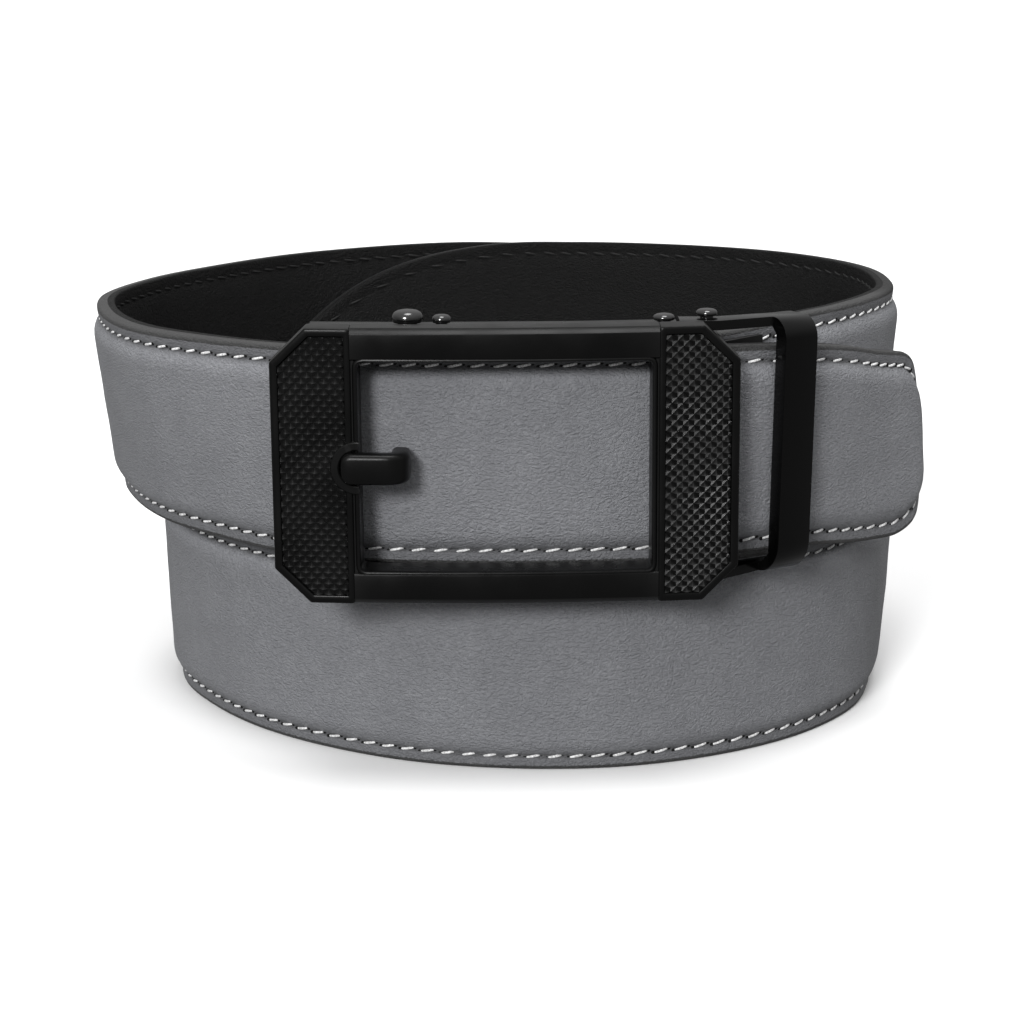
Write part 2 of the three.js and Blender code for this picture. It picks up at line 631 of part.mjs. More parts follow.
// Pawl between the case's back plate and the track
function makePawl() {
  const toothTips = STRAP_FRONT_Y + STRAP_BACK + TRACK_SEAT + TRACK_BASE + TRACK_TOOTH;
  const plateFront = CASE_FRONT_Y + CASE_PLATE_BACK - CASE_PLATE;
  return bowedSlab({
    from: -PAWL_LENGTH / 2,
    to: PAWL_LENGTH / 2,
    front: toothTips + CLEARANCE,
    back: plateFront - CLEARANCE,
    lower: () => BUCKLE_Z - PAWL_HEIGHT / 2,
    upper: () => BUCKLE_Z + PAWL_HEIGHT / 2,
  });
}

// Clamp folded round the strap's cut end, with the barrel that it hinges on
function makeClamp() {
  const station = stationAt(ROUTE_LENGTH);
  const gripStart = stationAt(ROUTE_LENGTH - CLAMP_GRIP);
  const outside = CLEARANCE + CLAMP_ROOM;
  const inside = -STRAP_BACK - CLAMP_ROOM;
  const ends = [
    placeOnStation(gripStart, 0, 0),
    station.point.clone().addScaledVector(station.along, CLAMP_ROOM),
    station.point.clone().addScaledVector(station.along, CLAMP_ROOM + CLAMP_PLATE),
  ];
  const low = CASE_FLOOR_TOP + CLEARANCE + CLAMP_EDGE;
  const high = CASE_ROOF_BOTTOM - CLEARANCE - CLAMP_EDGE;
  const flat = (point, out) => {
    const side = station.normal.clone().setZ(0).normalize();
    return new THREE.Vector2(point.x, point.y).addScaledVector(new THREE.Vector2(side.x, side.y), out);
  };
  const plate = CLAMP_PLATE;
  const shape = new THREE.Shape([
    flat(ends[0], outside + plate),
    flat(ends[2], outside + plate),
    flat(ends[2], inside - plate),
    flat(ends[0], inside - plate),
    flat(ends[0], inside),
    flat(ends[1], inside),
    flat(ends[1], outside),
    flat(ends[0], outside),
  ]);
  const body = new THREE.ExtrudeGeometry(shape, { depth: high - low, bevelEnabled: false });
  body.translate(0, 0, low);
  const barrelHeight = CASE_ROOF_BOTTOM - CASE_FLOOR_TOP - 2 * CLEARANCE;
  const barrel = new THREE.CylinderGeometry(BARREL_RADIUS, BARREL_RADIUS, barrelHeight, 12);
  const seat = flat(ends[2], (outside + inside) / 2);
  const away = new THREE.Vector2(station.along.x, station.along.y).multiplyScalar(BARREL_RADIUS * (1 - BARREL_SET_IN));
  barrel.rotateX(Math.PI / 2);
  barrel.translate(seat.x + away.x, seat.y + away.y, (CASE_ROOF_BOTTOM + CASE_FLOOR_TOP) / 2);
  return toGeometry(toSolid(body).add(toSolid(barrel)));
}

// Keeper loop: a band round the strap whose two arms are pinned above the case's roof and below its floor
function makeKeeper() {
  const station = stationAt(MIDDLE_DISTANCE - KEEPER_FROM_MIDDLE);
  const heading = station.along.clone().setZ(0).normalize();
  const side = new THREE.Vector3(heading.y, -heading.x, 0);
  if (side.dot(station.normal) < 0) {
    side.negate();
  }
  const inner = PADDING_HEIGHT + KEEPER_STANDOFF - KEEPER_THICKNESS / 2;
  const outer = inner + KEEPER_THICKNESS;
  const reach = inner - KEEPER_REACH;
  const half = KEEPER_WIDTH / 2;
  const top = KEEPER_TOP;
  const bottom = KEEPER_BOTTOM;
  const r = KEEPER_CORNER;
  const low = KEEPER_LOW_CORNER;
  const profile = new THREE.Shape();
  profile.moveTo(reach, bottom);
  profile.lineTo(outer - low, bottom);
  profile.absarc(outer - low, bottom + low, low, -Math.PI / 2, 0);
  profile.lineTo(outer, top - r);
  profile.absarc(outer - r, top - r, r, 0, Math.PI / 2);
  profile.lineTo(reach, top);
  profile.lineTo(reach, top - KEEPER_ARM);
  profile.lineTo(inner - r / 3, top - KEEPER_ARM);
  profile.lineTo(inner, top - KEEPER_ARM - r / 3);
  profile.lineTo(inner, bottom + KEEPER_ARM + low / 3);
  profile.lineTo(inner - low / 3, bottom + KEEPER_ARM);
  profile.lineTo(reach, bottom + KEEPER_ARM);
  const band = new THREE.ExtrudeGeometry(profile, { depth: KEEPER_WIDTH, bevelEnabled: false, curveSegments: 5 });
  band.translate(0, 0, -half);
  // The band leans with the strap, while its arms stay level
  const lean = Math.tan(THREE.MathUtils.degToRad(KEEPER_LEAN));
  const upright = new THREE.Vector3(0, 0, 1).addScaledVector(side, lean);
  const depthAxis = side.clone().cross(new THREE.Vector3(0, 0, 1));
  const placed = new THREE.Matrix4().makeBasis(side, upright, depthAxis);
  const shift = side.clone().multiplyScalar(-lean * station.point.z);
  placed.setPosition(station.point.x + shift.x, station.point.y + shift.y, 0);
  band.applyMatrix4(placed);
  const backY = CASE_FRONT_Y + bowAt(CASE_LENGTH / 2) + KEEPER_ROOT_DEPTH;
  const arm = (foot, corner) => {
    const away = lean * (foot - station.point.z);
    const plan = (out, along) => {
      return new THREE.Vector2(station.point.x, station.point.y)
        .addScaledVector(new THREE.Vector2(side.x, side.y), out + away)
        .addScaledVector(new THREE.Vector2(heading.x, heading.y), along);
    };
    const end = BUCKLE_X + CASE_LENGTH / 2 + HINGE_OVERHANG;
    const rootFront = CASE_FRONT_Y + bowAt(end) + CLEARANCE;
    const shape = new THREE.Shape([
      new THREE.Vector2(end - KEEPER_ROOT_LENGTH, rootFront),
      new THREE.Vector2(end, rootFront),
      plan(outer - corner, half / 2),
      plan(reach, half / 2),
      new THREE.Vector2(end, backY),
      new THREE.Vector2(end - KEEPER_ROOT_LENGTH, backY),
    ]);
    const plate = new THREE.ExtrudeGeometry(shape, { depth: KEEPER_ARM, bevelEnabled: false });
    plate.translate(0, 0, foot);
    return toSolid(plate);
  };
  const loop = toSolid(band).add(arm(top - KEEPER_ARM, r)).add(arm(bottom, low));
  return toGeometry(loop);
}

// Domed pin head; each pair is a share of its radius and of its height
function makePin(radius, height) {
  const shares = [[0, 0], [0.9, 0], [1, 0.45], [0.72, 0.85], [0, 1]];
  const outline = shares.map(([out, up]) => new THREE.Vector2(out * radius, up * height));
  const pin = new THREE.LatheGeometry(outline, PIN_SEGMENTS);
  pin.rotateX(Math.PI / 2);
  return toGeometry(toSolid(pin));
}

// Materials
const greyLeather = new THREE.MeshStandardMaterial({ color: 0x75767a, roughness: 0.55, metalness: 0 });
const blackLeather = new THREE.MeshStandardMaterial({ color: 0x17171a, roughness: 0.6, metalness: 0 });
const blackPlastic = new THREE.MeshStandardMaterial({ color: 0x121212, roughness: 0.5, metalness: 0 });
const blackMetal = new THREE.MeshStandardMaterial({ color: 0x151516, roughness: 0.42, metalness: 0.6 });
const glossMetal = new THREE.MeshStandardMaterial({ color: 0x0a0a0b, roughness: 0.25, metalness: 0.6 });

// Assembly
const belt = new THREE.Group();

function addPiece(name, geometry, material, x = 0, y = 0, z = 0) {
  const mesh = new THREE.Mesh(geometry, material);
  mesh.name = name;
  mesh.position.set(x, y, z);
  belt.add(mesh);
  return mesh;
}

addPiece('strap_outer', makeStrapOuter(), greyLeather);
addPiece('strap_lining', makeStrapLining(), blackLeather);
addPiece('ratchet_track', makeTrack(), blackPlastic);
addPiece('buckle_frame', makeFrame(), blackMetal, BUCKLE_X);
addPiece('prong', makeProng(), blackMetal, BUCKLE_X);
addPiece('mechanism_case', makeCase(), blackMetal, BUCKLE_X);
addPiece('pawl', makePawl(), blackMetal, BUCKLE_X);
addPiece('end_clamp', makeClamp(), blackMetal);
addPiece('keeper_loop', makeKeeper(), glossMetal);

const caseHalf = CASE_LENGTH / 2;
const hinge = caseHalf + HINGE_OVERHANG;
const pins = [
  { name: 'pin_large', x: PIN_LARGE_FROM_LEFT - caseHalf, radius: PIN_LARGE_RADIUS, height: 2.1, seat: CASE_EAR_TOP },
  { name: 'pin_small', x: PIN_SMALL_FROM_LEFT - caseHalf, radius: PIN_SMALL_RADIUS, height: 1.35, seat: CASE_EAR_TOP },
  { name: 'pin_right', x: caseHalf - PIN_RIGHT_FROM_RIGHT, radius: PIN_RIGHT_RADIUS, height: 1.1, seat: CASE_EAR_TOP },
  { name: 'pin_keeper', x: hinge - PIN_KEEPER_FROM_HINGE, radius: PIN_RIGHT_RADIUS, height: 1.1, seat: KEEPER_TOP },
];
for (const { name, x, radius, height, seat } of pins) {
  const y = CASE_FRONT_Y + PIN_SET_BACK + bowAt(x);
  addPiece(name, makePin(radius, height), blackMetal, BUCKLE_X + x, y, seat + CLEARANCE);
}

// The origin is the middle of the belt's box, on the surface that it stands on
const middle = new THREE.Box3().setFromObject(belt).getCenter(new THREE.Vector3());
belt.position.set(-middle.x, -middle.y, 0);

export default belt;
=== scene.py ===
"""Dressed scene of a ratchet belt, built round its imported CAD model.

Lengths are millimetres in the ring's own frame, +Z up and the buckle towards -Y, until make_piece turns
them into metres in the CAD's frame. A place on the strap is given by run, the distance from the strap's tip
along it, rise, the height above its lower edge, and out, the distance outwards from the flat flange.
"""

import math

import bmesh
import bpy
import numpy as np
from mathutils import Matrix, Vector


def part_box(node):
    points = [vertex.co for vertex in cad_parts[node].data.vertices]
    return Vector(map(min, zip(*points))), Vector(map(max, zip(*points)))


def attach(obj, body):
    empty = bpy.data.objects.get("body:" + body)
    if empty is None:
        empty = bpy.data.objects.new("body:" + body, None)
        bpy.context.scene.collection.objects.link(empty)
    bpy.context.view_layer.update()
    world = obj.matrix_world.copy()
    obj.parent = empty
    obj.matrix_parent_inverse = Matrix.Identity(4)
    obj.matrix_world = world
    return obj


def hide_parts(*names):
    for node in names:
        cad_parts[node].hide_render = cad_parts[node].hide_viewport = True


# Strap sizes
RING_RADIUS = 70.0
STRAP_WIDTH = 34.5
LEATHER_THICKNESS = 1.8
LINING_THICKNESS = 1.1
CLEARANCE = 0.3
PADDING_HEIGHT = 1.2
PADDING_SLOPE = 3.4
PADDING_CROWN = 0.22
FLANGE_WIDTH = 2.7
EDGE_ROUNDING = 0.6
TIP_CORNER_LENGTH = 14.4
TIP_CORNER_HEIGHT = 10.9
TIP_TAPER = 3.9
TIP_TAPER_LENGTH = 60.0
CLAMP_GRIP = 11.0
FLOOR_GAP = 0.02
SAMPLES_PER_ROW = 12
STATION_STEP = 0.8

# Stitch sizes
STITCH_PITCH = 3.55
STITCH_INSET = 2.35
STITCH_LENGTH = 2.75
STITCH_RADIUS = 0.23
STITCH_TILT = math.radians(11.0)
GROOVE_DEPTH = 0.24
GROOVE_WIDTH = 0.5
PUCKER_DEPTH = 0.12
STITCH_SINK = 0.3
LINING_ROUNDING = 0.35
LINING_GROOVE = 0.12
LINING_PUFF = 0.25

# Leather grain
PEBBLES_PER_MM = 0.75
WRINKLE_FLATNESS = 1.7
WRINKLE_WARP = 3.2
GRAIN_DEPTH = 0.42
FLANGE_DARKNESS = 0.34
SEAM_DARKNESS = 0.45

# Run along the strap where its inner strand climbs inside the ring; there the edge paint is turned black as painted
# shade
SHADED_RIM = (660.0, 860.0)
SHADED_RIM_FADE = 12.0

# Buckle sizes, the frame's own places measured from the middle of its window and back from its face
BUCKLE_X = -0.75
FRAME_LENGTH = 72.3
FRAME_HEIGHT = 43.3
FRAME_THICKNESS = 5.0
FRAME_BOW_RADIUS = 260.0
FRAME_CORNER_LENGTH = 5.6
FRAME_CORNER_HEIGHT = 5.4
FRAME_TO_STRAP = 1.3
WINDOW_LENGTH = 45.8
WINDOW_HEIGHT = 33.4
FIELD_RIM = 1.25
FIELD_DEPTH = 0.75
BLOCK_INNER = 23.6
KNURL_PITCH = 1.76
PRONG_HEIGHT = 4.9
PRONG_THICKNESS = 3.0
PRONG_REACH = 8.2
PRONG_ROOT = 2.4
PRONG_ROUND = 1.5

PRONG_PROUD = 1.7
RING_WIDTH = 1.4
RING_PROUD = 0.35
POST_OVERLAP = 0.1
POST_DEPTH = 0.5
LIP_COVER = 0.2

# Keeper and other rounded pieces
SHARP_EDGE = math.radians(25)
KEEPER_ROUNDING = 0.7

# The strap's path from its tip to its cut end: turn angle in degrees, radius as a share of RING_RADIUS, the
# foot's height as a share of STRAP_WIDTH, and the outward lean in degrees
ROUTE = [
    (24.3, 1.12, 0.912, -3.2), (28.6, 1.13, 0.912, -2.8), (32.1, 1.117, 0.917, -2), (37.1, 1.1, 0.934, -1),
    (42.6, 1.09, 0.962, 0.2), (48, 1.088, 0.998, 1.2), (54, 1.085, 1.025, 2.2), (60, 1.074, 1.038, 3),
    (66, 1.054, 1.038, 3), (73.8, 1.027, 1.038, 2.5), (90, 1.003, 1.038, 2), (106.3, 1.016, 1.038, 2),
    (114.8, 1.023, 1.038, 3), (123.1, 1.017, 1.038, 5), (133.6, 1.0, 1.038, 8), (146, 1.004, 1.038, 9.5),
    (160, 1.004, 1.04, 8.5), (176, 1.014, 1.04, 5), (190, 0.984, 1.04, 4), (205, 0.951, 1.04, 4),
    (235, 0.961, 1.04, 4), (265, 0.981, 1.04, 4), (280, 1.014, 0.985, 4.5), (298, 1.041, 0.755, 5),
    (318, 1.051, 0.42, 5), (334, 1.031, 0.162, 5), (346, 0.997, 0.035, 5), (356, 0.969, 0, 5),
    (367, 0.957, 0, 4.5), (378, 0.967, 0, 3), (390, 0.986, 0, 2.5), (405, 0.986, 0, 2.5),
    (420, 0.974, 0, 3), (435, 0.957, 0, 4), (450, 0.93, 0, 4), (465, 0.906, 0, 3.5),
    (480, 0.883, 0, 3), (495, 0.873, 0, 3), (510, 0.871, 0, 3), (525, 0.884, 0, 2),
    (540, 0.883, 0, 1.5), (555, 0.858, 0, 1.8), (570, 0.832, 0.093, 2.5), (585, 0.828, 0.333, 3.5),
    (602, 0.857, 0.71, 3.5), (615, 0.884, 0.957, 4), (628, 0.909, 1.043, 4), (642, 0.943, 1.049, 4.5),
    (660, 0.971, 1.049, 5), (677, 0.991, 1.052, 5.5), (690, 0.999, 1.052, 5.5), (703, 0.989, 1.055, 5.5),
    (716, 0.966, 1.058, 5), (727, 0.954, 1.058, 4.5), (738, 0.926, 1.058, 3.5), (750, 0.903, 1.058, 2.5),
    (757.5, 0.894, 1.056, 1.2), (765.4, 0.903, 1.048, 0), (771.8, 0.91, 1.04, 0), (780.9, 0.939, 1.038, 0),
]

# Levels and places that follow from the sizes above
FRONT_RADIUS = 1.003
GAP_SHARE = 1.038
STRAP_FRONT_Y = -FRONT_RADIUS * RING_RADIUS
BUCKLE_Z = GAP_SHARE * STRAP_WIDTH + STRAP_WIDTH / 2
FRAME_BACK_Y = STRAP_FRONT_Y - PADDING_HEIGHT - FRAME_TO_STRAP
FRAME_FACE_Y = FRAME_BACK_Y - FRAME_THICKNESS
HALF_LENGTH = FRAME_LENGTH / 2
HALF_HEIGHT = FRAME_HEIGHT / 2
HALF_WINDOW = WINDOW_LENGTH / 2
HALF_OPENING = WINDOW_HEIGHT / 2
OUTER_BACK = -LEATHER_THICKNESS - CLEARANCE / 2
LINING_BACK = -LEATHER_THICKNESS - CLEARANCE - LINING_THICKNESS

# Camera, from the photograph's perspective
CAMERA_PLACE = Vector((0.173, -436.667, 130.454))
CAMERA_PITCH = 0.2305
CAMERA_ROLL = 0.0077
FOCAL_PIXELS = 2393.83
PICTURE_PIXELS = 1024
SENSOR_WIDTH = 36.0

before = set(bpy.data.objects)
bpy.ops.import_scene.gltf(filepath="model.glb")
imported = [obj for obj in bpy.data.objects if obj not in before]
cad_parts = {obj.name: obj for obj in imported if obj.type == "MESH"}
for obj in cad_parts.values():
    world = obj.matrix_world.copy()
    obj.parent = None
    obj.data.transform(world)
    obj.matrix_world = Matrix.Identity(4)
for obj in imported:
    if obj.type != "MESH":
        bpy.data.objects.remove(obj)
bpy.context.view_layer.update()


def bow_at(x):
    """How far the buckle curves back at a distance from its middle."""
    return FRAME_BOW_RADIUS - np.sqrt(FRAME_BOW_RADIUS ** 2 - np.square(x))


def find_offset():
    """The ring's place in the CAD's frame, from the buckle frame's box."""
    low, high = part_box("buckle_frame")
    x = (low.x + high.x) / 2 * 1000 - BUCKLE_X
    y = high.y * 1000 - (FRAME_BACK_Y + float(bow_at(HALF_LENGTH)))
    return np.array((x, y, 0.0))


OFFSET = find_offset()


# Mesh helpers


def make_piece(name, vertices, faces, material, sharp, replaces=(), attributes=None):
    """One mesh object on the root body, from millimetres in the ring's frame."""
    mesh = bpy.data.meshes.new(name)
    placed = (np.asarray(vertices, dtype=float) + OFFSET) / 1000
    mesh.from_pydata(placed.tolist(), [], faces)
    for key, values in (attributes or {}).items():
        layer = mesh.attributes.new(key, "FLOAT", "POINT")
        layer.data.foreach_set("value", np.asarray(values, dtype=np.float32))
    built = bmesh.new()
    built.from_mesh(mesh)
    bmesh.ops.recalc_face_normals(built, faces=built.faces)
    built.to_mesh(mesh)
    built.free()
    mesh.shade_smooth()
    mesh.set_sharp_from_angle(angle=math.radians(sharp))
    mesh.materials.append(material)
    piece = bpy.data.objects.new(name, mesh)
    bpy.context.scene.collection.objects.link(piece)
    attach(piece, "root")
    if replaces:
        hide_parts(*replaces)
    return piece


def tube(rings, closed=False):
    """Vertices and faces of a skin through a stack of equal closed rings, capped unless its ends meet."""
    rings = np.asarray(rings, dtype=float)
    count, size = rings.shape[:2]
    faces = []
    for i in range(count if closed else count - 1):
        here = i * size
        there = (i + 1) % count * size
        for j in range(size):
            k = (j + 1) % size
            faces.append((here + j, here + k, there + k, there + j))
    if not closed:
        faces.append(tuple(range(size)))
        faces.append(tuple(range((count - 1) * size, count * size)))
    return rings.reshape(-1, 3), faces


def join(parts):
    """One vertex list and one face list from several, each numbered from nought."""
    vertices = []
    faces = []
    count = 0
    for points, polygons in parts:
        vertices.append(np.asarray(points, dtype=float))
        faces.extend(tuple(count + i for i in polygon) for polygon in polygons)
        count += len(points)
    return np.vstack(vertices), faces


# Materials


class Shader:
    """A node material under construction: add() makes a node, and a socket given as an input is linked."""

    def __init__(self, name):
        self.material = bpy.data.materials.new(name)
        self.material.use_nodes = True
        self.tree = self.material.node_tree
        self.surface = self.tree.nodes["Principled BSDF"]

    def add(self, kind, inputs=None, **settings):
        node = self.tree.nodes.new("ShaderNode" + kind)
        for key, value in settings.items():
            setattr(node, key, value)
        for key, value in (inputs or {}).items():
            self.put(node.inputs[key], value)
        return node

    def put(self, socket, value):
        if isinstance(value, bpy.types.NodeSocket):
            self.tree.links.new(value, socket)
        else:
            socket.default_value = value

    def finish(self, **values):
        for key, value in values.items():
            self.put(self.surface.inputs[key.replace("_", " ")], value)
        return self.material

    def place(self):
        """Object coordinates in millimetres."""
        coordinates = self.add("TexCoord").outputs["Object"]
        return self.add("VectorMath", {0: coordinates, "Scale": 1000.0}, operation="SCALE").outputs["Vector"]

    def noise(self, place, scale, detail=3.0, roughness=0.5):
        inputs = {"Vector": place, "Scale": scale, "Detail": detail, "Roughness": roughness}
        return self.add("TexNoise", inputs).outputs["Fac"]

    def cells(self, place, scale, feature, smoothness=0.0):
        node = self.add("TexVoronoi", {"Vector": place, "Scale": scale}, feature=feature)
        if feature == "SMOOTH_F1":
            node.inputs["Smoothness"].default_value = smoothness
        return node.outputs["Distance"]

    def attribute(self, name):
        return self.add("Attribute", attribute_name=name).outputs["Fac"]

    def math(self, operation, first, second=0.0, third=0.0):
        inputs = {0: first, 1: second, 2: third}
        return self.add("Math", inputs, operation=operation).outputs["Value"]

    def span(self, value, low, high, to_low=0.0, to_high=1.0, kind="SMOOTHSTEP"):
        inputs = {"Value": value, "From Min": low, "From Max": high, "To Min": to_low, "To Max": to_high}
        return self.add("MapRange", inputs, interpolation_type=kind).outputs["Result"]

    def blend(self, share, first, second):
        node = self.add("Mix", data_type="RGBA")
        colours = [socket for socket in node.inputs if socket.type == "RGBA"]
        self.put(node.inputs["Factor"], share)
        self.put(colours[0], first)
        self.put(colours[1], second)
        return [socket for socket in node.outputs if socket.type == "RGBA"][0]

    def bump(self, height, distance, strength=1.0, normal=None):
        inputs = {"Height": height, "Distance": distance / 1000, "Strength": strength}
        if normal is not None:
            inputs["Normal"] = normal
        return self.add("Bump", inputs).outputs["Normal"]


def grey(value, blue=0.0):
    return (value, value * (1 + blue * 0.2), value * (1 + blue), 1.0)


def make_strap_leather(name, light, dark, crease_highlight_colour, paint, rim_shade_paint, roughness):
    """Wrinkled leather, lighter on its crease lines partly as painted highlight, darker on the flange and along the
    stitch row, with edge paint where the edge attribute is small, turned black as painted shade along the shaded rim.
    """
    shader = Shader(name)
    place = shader.place()
    stretch = (1.0, 1.0, WRINKLE_FLATNESS)
    flat = shader.add("VectorMath", {0: place, 1: stretch}, operation="MULTIPLY").outputs["Vector"]
    warp = shader.add("TexNoise", {"Vector": place, "Scale": 0.8, "Detail": 3.0}).outputs["Color"]
    warp = shader.add("VectorMath", {0: warp, "Scale": WRINKLE_WARP}, operation="SCALE").outputs["Vector"]
    shifted = shader.add("VectorMath", {0: flat, 1: warp}, operation="ADD").outputs["Vector"]
    creases = shader.cells(shifted, PEBBLES_PER_MM, "DISTANCE_TO_EDGE")
    fine = shader.noise(flat, 1.7, 4.0, 0.72)
    patches = shader.noise(place, 0.13, 3.0, 0.6)
    crease = shader.span(creases, 0.0, 0.09, 1.0, 0.0)
    crease = shader.math("MULTIPLY", crease, shader.span(patches, 0.35, 0.65, 0.15, 1.0))
    speckle = shader.span(fine, 0.3, 0.7, 0.0, 1.0, "LINEAR")
    mottle = shader.math("MULTIPLY_ADD", patches, 0.3, shader.math("MULTIPLY", speckle, 0.7))
    colour = shader.blend(mottle, dark, light)
    # Crease lines: leather grain, lightened partly as painted highlight of the lit crease ridges.
    colour = shader.blend(shader.math("MULTIPLY", crease, 0.35), colour, crease_highlight_colour)
    edge = shader.attribute("edge")
    ragged = shader.math("MULTIPLY_ADD", fine, 0.9, edge)
    flange = shader.span(ragged, FLANGE_WIDTH + 0.3, FLANGE_WIDTH + 1.3, FLANGE_DARKNESS, 0.0)
    colour = shader.blend(flange, colour, paint)
    beside = shader.math("ABSOLUTE", shader.math("SUBTRACT", edge, STITCH_INSET))
    seam = shader.span(beside, 0.2, 0.55, SEAM_DARKNESS, 0.0)
    colour = shader.blend(seam, colour, paint)
    # Painted shade: the edge paint turns black along the run where the inner strand climbs inside the ring.
    run = shader.attribute("run")
    starts = shader.span(run, SHADED_RIM[0], SHADED_RIM[0] + SHADED_RIM_FADE)
    ends = shader.span(run, SHADED_RIM[1] - SHADED_RIM_FADE, SHADED_RIM[1], 1.0, 0.0)
    rim = shader.blend(shader.math("MULTIPLY", starts, ends), paint, rim_shade_paint)
    painted = shader.span(shader.math("MULTIPLY_ADD", fine, 0.6, edge), 0.95, 1.1, 1.0, 0.0)
    colour = shader.blend(painted, colour, rim)
    folds = shader.math("MULTIPLY", shader.math("MINIMUM", creases, 0.2), 1.5)
    height = shader.math("MULTIPLY_ADD", fine, 1.2, folds)
    grain = shader.bump(height, GRAIN_DEPTH, 0.9)
    rough = shader.span(fine, 0.3, 0.7, roughness - 0.05, roughness + 0.07)
    shader.finish(Base_Color=colour, Roughness=rough, Normal=grain)
    return shader


def make_outer_leather():
    shader = make_strap_leather("grey_leather_grained", light=grey(0.28, 0.08), dark=grey(0.168, 0.09),
                                crease_highlight_colour=grey(0.36, 0.06), paint=grey(0.045),
                                rim_shade_paint=grey(0.005), roughness=0.46)
    return shader.finish(Specular_IOR_Level=0.42)


def make_lining_leather():
    shader = make_strap_leather("black_leather_grained", light=grey(0.008), dark=grey(0.005),
                                crease_highlight_colour=grey(0.008), paint=grey(0.005),
                                rim_shade_paint=grey(0.004), roughness=0.48)
    return shader.finish(Specular_IOR_Level=0.13)


def make_thread(name, colour, dark):
    """Twisted thread: fine slanting plies."""
    shader = Shader(name)
    place = shader.place()
    fuzz = shader.noise(place, 9.0, 4.0, 0.7)
    plies = shader.noise(place, 3.0, 2.0, 0.5)
    tone = shader.span(plies, 0.35, 0.65)
    return shader.finish(Base_Color=shader.blend(tone, dark, colour), Roughness=0.75,
                         Normal=shader.bump(fuzz, 0.06, 0.6), Specular_IOR_Level=0.2)


def make_black_metal(name, value, roughness, specular, wear):
    """Satin black coating: a fine orange peel, cloudy gloss and slightly worn edges."""
    shader = Shader(name)
    place = shader.place()
    peel = shader.noise(place, 2.2, 2.0, 0.55)
    cloud = shader.noise(place, 0.12, 2.0, 0.6)
    pointed = shader.add("NewGeometry").outputs["Pointiness"]
    worn = shader.math("MULTIPLY", shader.span(pointed, 0.52, 0.62), wear)
    colour = shader.blend(worn, grey(value), grey(value * 6 + 0.02))
    rough = shader.span(cloud, 0.3, 0.7, roughness - 0.05, roughness + 0.06)
    return shader.finish(Base_Color=colour, Roughness=rough, Normal=shader.bump(peel, 0.03, 0.35),
                         Specular_IOR_Level=specular)


def make_black_plastic():
    shader = Shader("black_plastic_moulded")
    place = shader.place()
    rough = shader.span(shader.noise(place, 1.1, 3.0), 0.3, 0.7, 0.42, 0.56)
    return shader.finish(Base_Color=grey(0.012), Roughness=rough,
                         Normal=shader.bump(shader.noise(place, 4.0, 3.0), 0.03, 0.4), Specular_IOR_Level=0.35)


OUTER_LEATHER = make_outer_leather()
LINING_LEATHER = make_lining_leather()
GREY_THREAD = make_thread("grey_thread", grey(0.9), grey(0.5))
BLACK_THREAD = make_thread("black_thread", grey(0.02), grey(0.012))
NEEDLE_HOLE_SHADE = make_black_metal("needle_hole_shade", 0.012, 0.8, 0.1, 0.0)
BLACK_METAL = make_black_metal("black_metal_satin", 0.002, 0.3, 0.16, 0.2)
KNURL_METAL = make_black_metal("black_metal_knurl", 0.005, 0.28, 0.7, 0.4)
GLOSS_METAL = make_black_metal("black_metal_gloss", 0.001, 0.16, 0.2, 0.05)
POLISHED_METAL = make_black_metal("black_metal_polished", 0.004, 0.12, 0.9, 0.05)
BLACK_PLASTIC = make_black_plastic()


# The strap's path


def catmull_rom(points):
    """Centripetal curve through the points, sampled evenly in each interval."""
    extended = np.vstack((2 * points[0] - points[1], points, 2 * points[-1] - points[-2]))
    gaps = np.sum(np.diff(extended, axis=0) ** 2, axis=1) ** 0.25
    samples = []
    last = len(points) - 2
    for i in range(last + 1):
        before, start, end, after = extended[i:i + 4]
        gap_in, gap, gap_out = gaps[i:i + 3]
        leave = ((start - before) / gap_in - (end - before) / (gap_in + gap) + (end - start) / gap) * gap
        arrive = ((end - start) / gap - (after - start) / (gap + gap_out) + (after - end) / gap_out) * gap
        count = SAMPLES_PER_ROW + (1 if i == last else 0)
        share = (np.arange(count) / SAMPLES_PER_ROW)[:, None]
        square = -3 * start + 3 * end - 2 * leave - arrive
        cube = 2 * start - 2 * end + leave + arrive
        samples.append(start + leave * share + square * share ** 2 + cube * share ** 3)
    return np.vstack(samples)


def smoothed(values, spread):
    """Running Gaussian mean along the first axis, with the ends held."""
    reach = int(spread * 3)
    weights = np.exp(-0.5 * (np.arange(-reach, reach + 1) / spread) ** 2)
    weights /= weights.sum()
    before = np.repeat(values[:1], reach, axis=0)
    after = np.repeat(values[-1:], reach, axis=0)
    padded = np.concatenate((before, values, after))
    return np.stack([np.convolve(column, weights, mode="valid") for column in padded.T], axis=1)


def normalized(vectors):
    return vectors / np.linalg.norm(vectors, axis=-1, keepdims=True)


